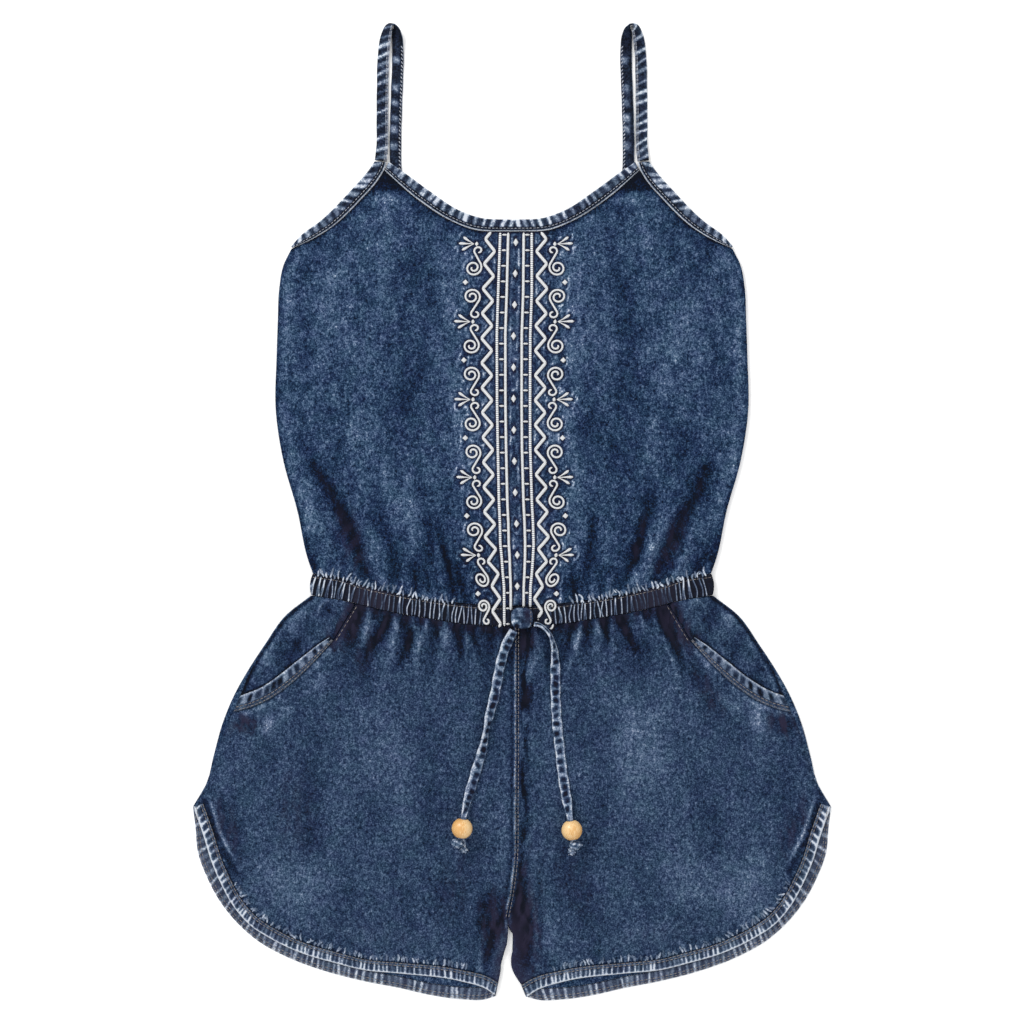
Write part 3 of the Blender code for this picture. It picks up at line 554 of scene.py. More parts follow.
# Patches drawn darker, paler or browner, partly the wash's stains and partly painted shade along deep
# folds: x, y, half sizes, turn, paler, browner.
def tonePatches(xy, table):
    fade, brownStainAndShade = np.zeros(xy.shape[:-1]), np.zeros(xy.shape[:-1])
    ragged = 1.0 + swells(xy, 7, 0.5, 4.0, 15.0)
    for x, y, wide, tall, turn, paler, browner in table:
        dx, dy = xy[..., 0] - x, xy[..., 1] - y
        c, s = math.cos(math.radians(turn)), math.sin(math.radians(turn))
        spot = np.exp(-(((dx * c + dy * s) / wide)**2 + ((dy * c - dx * s) / tall)**2)**1.3
                      * np.clip(ragged, 0.4, 2.0))
        fade += paler * spot
        brownStainAndShade = np.maximum(brownStainAndShade, browner * spot)
    return fade, brownStainAndShade


def mottled(xy, seed):
    return np.clip(0.75 + swells(xy, seed, 1.6, 3.0, 12.0), 0.15, 1.2)


# camera: straight above, the picture's frame 717 mm wide at the cloth

camera = {"lens": 90.0, "sensor": 36.0, "frameWidth": 716.8, "cloth": 4.0, "y": -0.7}
eye = bpy.data.cameras.new("overhead")
eye.lens = camera["lens"]
eye.sensor_width = camera["sensor"]
eye.clip_end = 20.0
away = camera["frameWidth"] * camera["lens"] / camera["sensor"]
overhead = bpy.data.objects.new("overhead", eye)
overhead.location = (0.0, camera["y"] * mm, (away + camera["cloth"]) * mm)
bpy.context.scene.collection.objects.link(overhead)
bpy.context.scene.camera = overhead
print("camera")

# the two ties, their beads and knots

tie = {
    "wall": 1.1, "edge": 0.5, "clear": 0.7, "slot": "tie_denim",
    "inBore": (3.6, 2.0),                           # width and thickness of the strip in its bead
    "pinch": {"size": (1.5, 2.3), "depth": (0.55, 1.1), "pitch": (4.8, 7.2), "lean": 0.7},
    "tones": {"level": 0.6, "rim": 0.3, "pinch": -2.1},
}
bead = {"radius": 7.25, "bore": 2.7, "rounded": 0.8, "steps": 56, "slot": "light_wood"}
ties = {
    # x, y, tilt, width down each free end; how far its face is worn, and where across
    "left": {
        "path": [(1.2, -83.6, 12, 6.2), (-1.6, -88.5, 6, 6.8), (-4.9, -96.0, 0, 6.8),
                 (-8.2, -107.8, 0, 6.8), (-11.4, -125.3, 4, 6.8), (-15.6, -142.0, 24, 6.6),
                 (-18.2, -154.0, 58, 6.2), (-21.0, -168.0, 22, 6.6), (-25.4, -182.7, 4, 6.8),
                 (-30.2, -198.8, 14, 6.6), (-32.6, -208.0, 42, 5.4)],
        "bead": (-34.8, -221.2), "heading": -98.0, "tail": 3.4, "seed": 3, "beadTurn": 0.4,
        "worn": (-0.24, 0.4),
    },
    "right": {
        "path": [(15.4, -79.0, 66, 5.2), (20.6, -80.2, 74, 5.6), (25.4, -84.8, 76, 6.0),
                 (28.6, -92.6, 64, 6.4), (30.0, -103.0, 34, 6.8), (30.3, -113.0, 6, 6.8),
                 (30.5, -130.2, 0, 6.8), (31.6, -149.1, 2, 6.8), (33.6, -168.0, 0, 6.8),
                 (35.8, -186.6, 0, 6.8), (38.0, -200.0, 0, 6.8), (39.4, -208.4, 0, 5.4)],
        "bead": (41.7, -222.4), "heading": -82.0, "tail": -2.0, "seed": 8, "beadTurn": 1.3,
        "worn": (0.12, 0.3),
    },
}


def clothTop(xy):
    top = frontUnder(xy)[0] + cloth["wall"]
    onCasing = (alongAndAway(waistTop, xy)[1] + alongAndAway(waistBottom, xy)[1]) < 18.0
    return np.where(onCasing, cloth["casingBase"] + cloth["casingWall"] + cloth["casingFolds"], top)


# Top of the cloth that a round thing of some reach would rest on.
def highestUnder(middle, reach):
    ring = [(reach * share * math.cos(a), reach * share * math.sin(a))
            for share in (0.0, 0.5, 1.0) for a in np.arange(8) * math.pi / 4]
    return float(clothTop(np.array(middle) + np.array(ring)).max())


# Directions across a strip and out of its face, for its path and its tilt in degrees.
def ribbonFrame(centre, tilt):
    run = np.gradient(centre, axis=0)
    run /= np.linalg.norm(run, axis=1)[:, None]
    level = np.cross(run, (0.0, 0.0, 1.0))
    level /= np.linalg.norm(level, axis=1)[:, None]
    turned = np.radians(tilt)[:, None]
    across = np.cos(turned) * level + np.sin(turned) * np.cross(level, run)
    return across, np.cross(across, run)


# The path of a free end, resting on the cloth and then through its bead: x, y, z, tilt, width,
# thickness, and the runs that they are at.
def tiePath(plan, way, middle, beadZ):
    rows = []
    for x, y, tilt, width in smoothLine(plan["path"], 130):
        flat, upright = math.cos(math.radians(tilt)), math.sin(math.radians(tilt))
        stand = upright * width / 2 + flat * tie["wall"] / 2
        z = highestUnder((x, y), width / 2 * flat + 1.2) + tie["clear"] + stand
        rows.append((x, y, z, tilt, width, tie["wall"] + tie["edge"]))
    inBead = (-8.05, -6.0, -3.6, 0.0, 3.6, 7.65)
    for along in inBead:
        rows.append((*(middle + way * along), beadZ, 0.0, *tie["inBore"]))
    rows = np.array(rows)
    for _ in range(60):
        level = (rows[:-2, 2] + 2 * rows[1:-1, 2] + rows[2:, 2]) / 4
        rows[1:-1, 2] = np.maximum(level, rows[1:-1, 2] - 0.02)
        rows[-len(inBead):, 2] = beadZ
    run = np.concatenate([[0.0], np.cumsum(np.linalg.norm(np.diff(rows[:, :3], axis=0), axis=1))])
    wanted = np.linspace(0.0, run[-1], int(run[-1] / 3.4) * 4 + 1)
    rows = np.stack([np.interp(wanted, run, rows[:, k]) for k in range(6)], 1)
    for _ in range(4):
        rows[1:-1] = (rows[:-2] + 2 * rows[1:-1] + rows[2:]) / 4
    return rows, wanted


# A strip folded in four: thick rounded edges, a thin middle with a pinch every 6 mm.
def makeTie(side):
    plan = ties[side]
    heading = math.radians(plan["heading"])
    way = np.array([math.cos(heading), math.sin(heading)])
    middle = np.array(plan["bead"])
    beadZ = highestUnder(middle, 4.0) + cloth["gap"] + bead["radius"] + 0.4
    rows, run = tiePath(plan, way, middle, beadZ)
    centre, length = rows[:, :3], float(run[-1])
    across, face = ribbonFrame(centre, rows[:, 3])
    chance = np.random.default_rng(plan["seed"])
    c = np.linspace(-1.0, 1.0, 13)
    free = ease((np.abs(run - (length - 7.7)) - 6.0) / 3.0)[:, None]    # 0 inside the bead
    pinch, here, spec = np.zeros((len(run), 13)), 3.0, tie["pinch"]
    while here < length - 18.0:
        size, deep = chance.uniform(*spec["size"]), chance.uniform(*spec["depth"])
        lean = chance.normal(0.0, spec["lean"])
        pinch += deep * bell(run[:, None] - here - lean * c, size, 4) \
            * bell(c - plan["worn"][0] - chance.normal(0.0, 0.12), 0.6, 4)
        here += chance.uniform(*spec["pitch"])
    rim = bell(np.abs(c) - 0.86, 0.16)[None]
    rounded = np.sqrt(np.clip(1.0 - np.abs(c)**6, 0.02, 1.0))[None]
    thick = rows[:, 5:6] / 2 * rounded * (0.72 + 0.5 * rim * free) - 0.42 * pinch * free
    wobble = 1.0 + 0.06 * np.sin(run / 2.1 + plan["seed"])[:, None] * free
    reach = c[None] * rows[:, 4:5] / 2 * wobble
    upper = centre[:, None] + across[:, None] * reach[..., None] + face[:, None] * thick[..., None]
    under = centre[:, None] + across[:, None] * reach[..., None] - face[:, None] * thick[..., None]
    rubbed = plan["worn"][1] * ease((c - 0.05) / 0.5)[None] * (0.75 + 0.35 * np.sin(run / 1.7))[:, None]
    tones = tie["tones"]
    # The pinches are drawn dark and a little brown, partly the wash and partly painted shade in them; the
    # rims paler.
    fade = tones["level"] + tones["rim"] * rim * free + tones["pinch"] * pinch * free + rubbed * free
    strip = shell(f"tie_{side}_cloth", upper, under, finishes["tie"], fade,
                  np.clip(pinch * 0.25, 0, 1), step=1, level=False)
    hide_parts(f"tie_{side}")
    return strip, centre, way, middle, beadZ, length


# Turned on a lathe, the bore's rims rounded over.
def makeBead(side, way, middle, beadZ):
    r, b, soft = bead["radius"], bead["bore"], bead["rounded"]
    mouth = math.asin((b + soft * 0.6) / r)
    profile = [(r * math.sin(a), r * math.cos(a)) for a in np.linspace(mouth, math.pi - mouth, 33)]
    top = profile[0][1]
    inside = [(b + soft * 0.25, top + 0.05), (b, top - 0.5), (b, 0.0), (b, -top + 0.5),
              (b + soft * 0.25, -top - 0.05)]
    profile = profile + inside[::-1]
    angle = np.arange(bead["steps"]) * 2 * math.pi / bead["steps"]
    sideways, up = np.array([-way[1], way[0], 0.0]), np.array([0.0, 0.0, 1.0])
    points = np.array([[np.array([*middle, beadZ]) + np.array([*way, 0.0]) * z
                        + sideways * x * math.cos(a) + up * x * math.sin(a) for a in angle]
                       for x, z in profile])
    index = np.arange(len(profile) * bead["steps"]).reshape(len(profile), -1)
    ring, after = np.roll(index, -1, 0), np.roll(index, -1, 1)
    faces = np.stack([index, ring, np.roll(ring, -1, 1), after], -1).reshape(-1, 4)
    made = buildMesh(f"bead_{side}_beech", points.reshape(-1, 3), faces,
                     lacqueredBeech(ties[side]["beadTurn"]))
    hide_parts(f"bead_{side}")
    return made


# Points and faces of a round strand with closed ends, as quads.
def tube(centre, radius, around=6):
    centre = np.array(centre, float)
    radius = np.broadcast_to(radius, len(centre))
    run = np.gradient(centre, axis=0)
    run /= np.maximum(np.linalg.norm(run, axis=1), 1e-9)[:, None]
    first = np.cross(run, (0.0, 0.0, 1.0))
    weak = np.linalg.norm(first, axis=1) < 0.2
    first[weak] = np.cross(run[weak], (1.0, 0.0, 0.0))
    first /= np.linalg.norm(first, axis=1)[:, None]
    second = np.cross(first, run)
    a = np.arange(around) * 2 * math.pi / around
    rings = centre[:, None] + radius[:, None, None] * (first[:, None] * np.cos(a)[None, :, None]
                                                       + second[:, None] * np.sin(a)[None, :, None])
    return rings.reshape(-1, 3), tubeFaces(len(centre), around)


def joined(parts):
    points, faces, start = [], [], 0
    for p, f in parts:
        points.append(p)
        faces.append(f + start)
        start += len(p)
    return np.concatenate(points), np.concatenate(faces)


knot = {
    # along from the bead, half width, half height, share of the drop to the cloth
    "lump": [(0.75, 1.5, 1.2, 0.0), (1.6, 3.4, 2.5, 0.0), (3.2, 4.2, 3.0, 0.0), (4.8, 3.6, 2.6, 0.0),
             (6.2, 2.2, 1.6, 0.1), (7.2, 1.0, 0.8, 0.2)],
    "petals": {"count": 9, "size": (2.0, 3.0), "radius": (0.65, 1.0), "tone": (0.1, 1.0)},
    "threads": {"count": 6, "size": (2.4, 3.8), "radius": 0.14, "tone": (0.3, 1.1)},
}


# An overhand knot against the bead: two wraps of the tie, then a frayed end.
def makeKnot(side, way, middle, beadZ):
    plan = ties[side]
    chance = np.random.default_rng(plan["seed"] + 20)
    across = np.array([-way[1], way[0]])
    rings, marks = [], []
    angle = np.linspace(0.0, 2 * math.pi, 25)[:-1]
    for along, wide, high, drop in smoothLine(knot["lump"], 32):
        place = middle + way * (bead["radius"] + along) - across * plan["tail"] * 0.55
        floor = highestUnder(place, wide) + cloth["gap"] + high
        z = max(beadZ + (floor - beadZ) * drop, floor)
        wrap = 0.13 * np.sin(2 * angle + along * 1.9) + 0.09 * np.sin(5 * angle - along * 1.3 + 1.0)
        rings.append(np.stack([place[0] + across[0] * wide * np.cos(angle) * (1.0 + wrap),
                               place[1] + across[1] * wide * np.cos(angle) * (1.0 + wrap),
                               z + high * np.sin(angle) * (1.0 + wrap)], 1))
        # The wraps are painted paler where they bulge and darker where they sink: painted light and shade.
        marks.append(wrap * 3.0 + 0.45)
    parts = [(np.array(rings).reshape(-1, 3), tubeFaces(len(rings), len(angle)))]
    fade = [np.array(marks).ravel()]

    def add(line, radius, tone, around=8):
        parts.append(tube(line, radius, around))
        fade.append(np.full(len(parts[-1][0]), tone))

    def onCloth(along, over, rise):
        place = middle + way * (bead["radius"] + along) + across * over
        return np.array([*place, highestUnder(place, 1.0) + rise])

    tail = plan["tail"]
    strand = smoothLine([onCloth(0.6, tail * 0.5, 1.6), onCloth(2.8, tail * 0.95, 1.3),
                         onCloth(5.0, tail * 1.05, 1.1), onCloth(7.2, tail, 1.0)], 12)
    add(strand, 0.6, 0.9)
    tip = onCloth(8.4, tail, 0.9)
    spec = knot["petals"]
    for k in range(spec["count"]):
        turn = k * 2 * math.pi / spec["count"] + chance.normal(0.0, 0.2)
        size, bend = chance.uniform(*spec["size"]), chance.normal(0.0, 0.35)
        t = np.linspace(0.0, 1.0, 7)
        line = tip + np.stack([np.cos(turn + bend * t) * t * size, np.sin(turn + bend * t) * t * size,
                               0.5 * np.sin(t * 3.0) * chance.uniform(0.2, 1.0)], 1)
        swell = np.sqrt(np.clip(1.05 - (1.8 * t - 1.0)**2, 0.05, 1.0))
        add(line, chance.uniform(*spec["radius"]) * swell, chance.uniform(*spec["tone"]))
    spec = knot["threads"]
    for _ in range(spec["count"]):
        turn, size = chance.uniform(0.0, 6.3), chance.uniform(*spec["size"])
        t = np.linspace(0.0, 1.0, 6)
        bent = turn + chance.normal(0.0, 0.8) * t
        add(tip + np.stack([np.cos(bent) * t * size, np.sin(bent) * t * size, 0.3 + 0.4 * t], 1),
            spec["radius"], chance.uniform(*spec["tone"]), 4)
    points, faces = joined(parts)
    fade = np.concatenate(fade)
    made = buildMesh(f"knot_{side}_frayed", points, faces, finishes["tie"],
                     {"fade": fade, "brownStainAndShade": np.zeros(len(fade))})
    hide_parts(f"knot_{side}")
    return made


for side in sides:
    strip, centre, way, middle, beadZ, length = makeTie(side)
    hung = [makeBead(side, way, middle, beadZ), makeKnot(side, way, middle, beadZ)]
print("ties, beads and knots")

# embroidery's plan: a folk border of ladders, zigzags, scrolls and diamonds in satin stitch

border = {
    # offsets from the middle line, and heights on the front
    "top": 195.0, "lastTurn": (-81.0, -74.5), "railEnds": ((-69.5, -80.5), (-67.5, -67.5)),
    "middle": [(2.8, 195.0), (2.1, 153.0), (1.1, 124.0), (1.1, 75.0), (1.4, 45.0), (2.4, 6.0),
               (3.1, -8.0), (3.75, -33.0), (3.6, -82.0)],
    "spread": [(195.0, 1.0), (153.0, 1.07), (75.0, 1.05), (45.0, 1.03), (6.0, 1.045), (-23.0, 1.06),
               (-33.0, 0.99), (-43.0, 0.93), (-53.0, 0.84), (-82.0, 0.81)],
    "rails": (5.4, 11.0), "railWidth": 2.1, "firstRung": 193.4, "rungEvery": 10.9, "rungWidth": 1.6,
    "zigzag": 17.7, "zigzagReach": 3.85, "zigzagPeriod": 17.37, "firstTurn": 190.4, "zigzagWidth": 2.55,
    "firstDiamond": 188.1, "diamondEvery": 21.89, "diamond": (2.1, 2.7), "sideDiamond": (32.9, 2.9, 1.9),
    "repeat": 54.5, "firstPalmette": 187.0, "lowest": -60.0, "sideDiamondDrop": 26.9,
    "scroll": 28.2, "scrollRadius": 5.6, "scrollWidth": 1.65, "scrollTurns": (38.0, -572.0),
    "scrollsAt": ((-16.8, 1.0), (-37.0, -1.0)),    # below a palmette, and which way the hook goes
    "hook": 25.8, "hookRise": 11.9, "hookRadius": 2.6, "hookTurns": (-85.0, 205.0),
    "bud": (27.0, 2.2, 1.6), "leavesFrom": 28.7, "leaves": [(36.6, 4.9), (39.4, 0.3), (36.8, -4.5)],
    "leafWidths": [0.7, 0.8, 1.0, 1.6, 2.3, 2.1], "thick": 0.75,
    "lastScroll": (28.6, -66.8, 0.92, 0.84), "looseWidth": 1.7,
    "loose": [[(27.9, -82.6), (29.9, -82.1), (31.2, -79.2)], [(18.1, -76.4), (18.1, -75.6)]],
}


# From an offset from the border's middle line, and a height on the front, to plan.
def borderPlace(w, y):
    middle = np.array(border["middle"])[::-1]
    spread = np.array(border["spread"])[::-1]
    x0 = np.interp(y, middle[:, 1], middle[:, 0])
    return np.stack([x0 + w * np.interp(y, spread[:, 0], spread[:, 1]), y], -1)


# A scroll with the hook that it springs from, above it or below it.
def scrollLine(y, up):
    b = border
    angle = np.radians(np.linspace(*b["hookTurns"], 15))
    curled = b["hookRadius"] * (0.5 + 0.5 * ease((angle + 1.5) / 2.4))
    hookY = y + up * b["hookRise"]
    hook = [(b["hook"] - r * math.cos(a), hookY + up * r * math.sin(a)) for a, r in zip(angle, curled)]
    turn = np.radians(np.linspace(*b["scrollTurns"], 46))
    radius = np.linspace(1.0, 0.0, 46)**0.85 * (b["scrollRadius"] - 0.9) + 0.9
    coil = [(b["scroll"] - r * math.cos(a), y + up * r * math.sin(a)) for a, r in zip(turn, radius)]
    return np.array(hook + coil)


def zigzagTurns(last):
    b, half = border, border["zigzagPeriod"] / 2
    turns = np.arange(b["firstTurn"] + half, last - half, -half)
    w = b["zigzag"] - b["zigzagReach"] * (-1.0) ** np.arange(len(turns))
    ends = [b["top"], *turns[1:-1], last]
    return list(zip(np.interp(ends, turns[::-1], w[::-1]), ends))


# Every stroke of the border in plan: whether it is corded, its line, its widths.
def borderStrokes():
    b, strokes = border, []

    def put(w, y, width, corded=False):
        strokes.append((corded, borderPlace(np.array(w, float), np.array(y, float)), width))

    def diamond(w, y, wide, tall):
        put([w] * 5, np.linspace(y + tall, y - tall, 5), [0.6, 1.1 * wide, 2.0 * wide, 1.1 * wide, 0.6])

    for side, railEnds, last in zip((-1.0, 1.0), b["railEnds"], b["lastTurn"]):
        for rail, end in zip(b["rails"], railEnds):
            put([side * rail] * 120, np.linspace(b["top"], end, 120), b["railWidth"], rail > 8.0)
        for y in np.arange(b["firstRung"], railEnds[1] + 1.0, -b["rungEvery"]):
            put(side * np.linspace(b["rails"][0] + 0.8, b["rails"][1] - 1.3, 4), [y] * 4, b["rungWidth"])
        turns = zigzagTurns(last)
        for (w0, y0), (w1, y1) in zip(turns, turns[1:]):
            put(side * np.linspace(w0, w1, 6), np.linspace(y0 + 0.4, y1 - 0.4, 6), b["zigzagWidth"])
        for palmette in np.arange(b["firstPalmette"], b["lowest"], -b["repeat"]):
            for shift, up in b["scrollsAt"]:
                if palmette + shift > b["lowest"]:
                    line = scrollLine(palmette + shift, up)
                    put(side * line[:, 0], line[:, 1], b["scrollWidth"])
            place, *size = b["sideDiamond"]
            if palmette - b["sideDiamondDrop"] > b["lowest"]:
                diamond(side * place, palmette - b["sideDiamondDrop"], *size)
            place, *size = b["bud"]
            diamond(side * place, palmette, *size)
            for tip, rise in b["leaves"]:
                put(side * np.linspace(b["leavesFrom"], tip, 6),
                    palmette + rise * np.linspace(0.0, 1.0, 6)**1.2, b["leafWidths"])
        w, y, wide, tall = b["lastScroll"]
        line = (scrollLine(0.0, -1.0) - (b["scroll"], 0.0)) * (wide, tall) + (w, y)
        put(side * line[:, 0], line[:, 1], b["scrollWidth"])
    for y in np.arange(b["firstDiamond"], b["lowest"], -b["diamondEvery"]):
        diamond(0.0, y, *b["diamond"])
    for points in b["loose"]:
        w, y = np.array(points).T
        put(w, y, b["looseWidth"])
    return strokes


strokesInPlan = borderStrokes()


# Round the stitches: near black beside them, partly dye that the wash left there and partly painted shadow
# of the raised stitches, then a thin paler pucker, blue between.
def borderGround(xy):
    near = [resample(line, max(int(lineLength(line) / 0.7), 2)) for _, line, _ in strokesInPlan]
    tree = KDTree(sum(len(line) for line in near))
    for k, (x, y) in enumerate(np.concatenate(near)):
        tree.insert((x, y, 0.0), k)
    tree.balance()
    away = np.full(xy.shape[:-1], 50.0)
    middle = np.array(border["middle"])[::-1]
    offset = xy[..., 0] - np.interp(xy[..., 1], middle[:, 1], middle[:, 0])
    for at in zip(*np.nonzero(np.abs(offset) < 48.0)):
        away[at] = tree.find((*xy[at], 0.0))[2]
    inside = np.abs(offset) < 25.0
    dark = bell(away, np.where(inside, 2.3, 1.9), 4)
    uneven = np.clip(0.55 + swells(xy, 19, 1.6, 3.0, 10.0), 0.0, 1.3)
    wide = bell(np.abs(offset), 25.0, 8)
    pucker = bell(away - 3.0, 0.75) * uneven * np.where(inside, 0.9, 0.8)
    return -0.65 * dark * (0.7 + 0.4 * uneven) - 0.06 * wide + pucker, 0.3 * dark + 0.1 * wide


# front of the bodice

bodiceFront = {
    "columns": 320, "rows": (0.9, 1.75, 34.0, 16.0),    # row steps at the ends and between, reaches
    "fromWaist": [
        # points from the casing up, half width, height
        ([(-112, -40), (-118, -24), (-127, 1), (-137, 23)], 4.0, 1.3),
        ([(-90, -51), (-97, -34), (-106, -12), (-117, 10)], 5.0, 1.3),
        ([(-41, -57), (-43, -45), (-48, -26), (-52, -8), (-55, 10)], 2.2, -1.7),
        ([(-47, -50), (-50, -43), (-55, -20), (-59, 1)], 3.0, 0.7),
        ([(-137, -43), (-146, -31), (-153, -18)], 4.0, -1.2),
        ([(-115, -46), (-121, -38), (-127, -29)], 2.2, 0.9),
        ([(-92, -57), (-104, -40), (-112, -26)], 3.2, -1.3),
        ([(-66, -57), (-69, -44), (-74, -31)], 1.8, -1.0), ([(-57, -57), (-62, -34)], 1.8, -0.9),
        ([(-72, -54), (-74, -43), (-81, -31)], 2.2, 0.9),
        ([(-48, -58), (-50, -50), (-54, -38)], 1.8, 0.9),
        ([(-29, -55), (-35, -34)], 2.0, 0.8), ([(-32, -62), (-38, -45), (-38, -20)], 2.4, -1.0),
        ([(115, -43), (123, -26), (131, -6), (139, 15)], 4.0, 1.3),
        ([(88, -51), (95, -34), (105, -12), (115, 10)], 5.0, 1.3),
        ([(78, -54), (87, -31), (92, -6), (95, 29)], 4.0, -1.1),
        ([(69, -58), (73, -46), (80, -33)], 2.2, -1.1), ([(45, -64), (42, -48), (44, -31)], 2.6, -1.4),
        ([(58, -61), (57, -48), (59, -34)], 2.4, 1.0), ([(66, -59), (71, -41)], 1.8, 0.9),
        ([(80, -57), (85, -46), (93, -31)], 2.4, 0.9), ([(99, -48), (104, -36), (109, -24)], 2.0, -1.0),
        ([(114, -46), (119, -36), (126, -24)], 2.2, 0.9), ([(130, -43), (137, -29), (140, -13)], 4.0, -1.1),
    ],
    "loose": [
        ([(64, 22), (60, -6), (56, -31)], 3.0, -0.7), ([(76, 8), (74, -20), (69, -43)], 5.0, 0.7),
        ([(-84, 200), (-78, 148), (-77, 78), (-79, 29)], 9.0, -0.9),
        ([(-59, 192), (-57, 155), (-59, 120)], 4.0, -0.6), ([(-46, 192), (-46, 134), (-46, 64)], 7.0, 0.8),
        ([(-143, 141), (-144, 111), (-140, 92)], 6.0, -0.6),
        ([(-116, 148), (-113, 106), (-108, 64)], 9.0, 0.7),
        ([(-88, 186), (-92, 141), (-90, 113)], 5.0, 0.5),
        ([(-127, 81), (-120, 50), (-115, 29)], 6.0, -0.7), ([(-98, 78), (-88, 29), (-80, -13)], 9.0, 0.8),
        ([(-69, 57), (-64, 22), (-59, -20)], 4.0, -0.5), ([(-155, 169), (-158, 127), (-158, 78)], 4.0, 0.6),
        ([(81, 198), (77, 148), (76, 92), (80, 43)], 9.0, -0.9),
        ([(62, 190), (60, 148), (63, 113)], 4.0, -0.6),
        ([(49, 190), (50, 127), (50, 64)], 7.0, 0.7), ([(143, 141), (144, 113), (141, 92)], 6.0, -0.6),
        ([(115, 148), (112, 106), (106, 64)], 9.0, 0.7), ([(90, 186), (94, 148), (91, 116)], 5.0, 0.5),
        ([(127, 81), (120, 50), (116, 29)], 6.0, -0.7), ([(98, 78), (90, 36), (83, -6)], 8.0, 0.7),
        ([(156, 169), (159, 127), (158, 78)], 4.0, 0.6),
    ],
    "deep": [
        ([(-94, -47), (-103, -33), (-114, -11), (-125, 8), (-137, 31), (-149, 57)], 5.4, -1.8),
        ([(-88, -50), (-96, -30), (-106, -8), (-116, 12)], 3.8, 0.6),
        ([(-76, -49), (-84, -28), (-91, -8), (-97, 14)], 4.4, -1.0),
        ([(-122, -42), (-131, -20), (-143, 6), (-152, 30)], 5.4, 0.7),
        ([(-64, -47), (-69, -20), (-72, 8), (-74, 40)], 5.0, 0.6),
        ([(-55, -44), (-57, -22), (-61, 4)], 3.0, -1.3),
        ([(95, -47), (105, -33), (113, -18), (122, 0), (132, 18), (146, 50)], 5.4, -1.8),
        ([(90, -48), (98, -30), (108, -8), (118, 14)], 4.0, 0.6),
        ([(76, -49), (86, -29), (93, -6), (99, 22)], 4.4, -1.3),
        ([(122, -42), (132, -20), (143, 6), (151, 30)], 5.4, 0.7),
        ([(62, -47), (68, -22), (71, 4), (73, 36)], 5.0, 0.6),
        ([(52, -46), (55, -22), (58, 6)], 3.0, -1.3),
    ],
    "tonePatches": [
        # x, y, half width, half height, turn, paler, browner
        (-113.0, -20.0, 9.0, 24.0, 22.0, -0.25, 0.35), (-146.0, -12.0, 9.0, 22.0, 14.0, 0.12, 0.0),
        (-76.0, -12.0, 12.0, 22.0, 12.0, 0.05, 0.0), (-120.0, 120.0, 26.0, 40.0, 10.0, 0.12, 0.0),
        (-84.0, 195.0, 16.0, 18.0, 0.0, 0.18, 0.0), (-66.0, 120.0, 10.0, 60.0, 4.0, -0.2, 0.0),
        (-100.0, 44.0, 22.0, 30.0, 14.0, 0.1, 0.0), (112.0, -22.0, 8.0, 22.0, -24.0, -0.25, 0.35),
        (98.0, -10.0, 8.0, 22.0, -18.0, 0.1, 0.0), (146.0, -8.0, 9.0, 24.0, -12.0, 0.14, 0.0),
        (86.0, 60.0, 12.0, 50.0, -6.0, -0.2, 0.0), (120.0, 110.0, 24.0, 44.0, -8.0, 0.14, 0.0),
        (60.0, 150.0, 12.0, 30.0, 0.0, 0.16, 0.0), (84.0, 195.0, 16.0, 18.0, 0.0, 0.18, 0.0),
        (40.0, 90.0, 6.0, 60.0, 0.0, 0.2, 0.0), (-36.0, 60.0, 6.0, 60.0, 0.0, 0.15, 0.0)],
    "waistGathers": {"pitch": 5.2, "width": 1.0, "height": 0.8, "reach": 19.0, "lean": 0.07, "seed": 5},
    "waistFolds": {"pitch": 11.5, "width": 2.1, "height": 1.1, "reach": 24.0, "lean": 0.12, "seed": 4},
    "neckGathers": {"pitch": 6.0, "width": 1.6, "height": 0.3, "reach": 5.0, "lean": 0.25, "seed": 6},
    "tones": (3.9, 2.0),                                # fold heights at which a ridge is fully pale and a trough fully dark, partly wear and partly painted light and shade
    "yoke": {"x": 86.0, "width": 11.0, "from": 222.0},    # dark under the strap points
    "worn": {"x": 84.0, "width": 14.0, "y": 218.0, "height": 3.5},    # and pale below that
    "slot": "washed_denim",
}


# How much paler a raised place and darker a sunk one is drawn, and how much violet a deep one gets: partly
# the wash's wear, partly painted light and shade.
def toneOf(height, ridge, trough):
    fade = np.where(height > 0, height / ridge, height / trough)
    return np.clip(fade, -1.15, 1.3), 0.5 * np.clip(-height / trough - 0.6, 0.0, 0.8)


# The neck's and the armholes' sewn edges, each as a line of so many steps.
def boundEdges(neckSteps, armholeSteps):
    armhole = smoothLine(cut["armholeInner"], armholeSteps)
    return bothHalves(cut["neckLower"], neckSteps), armhole, mirrored(armhole)


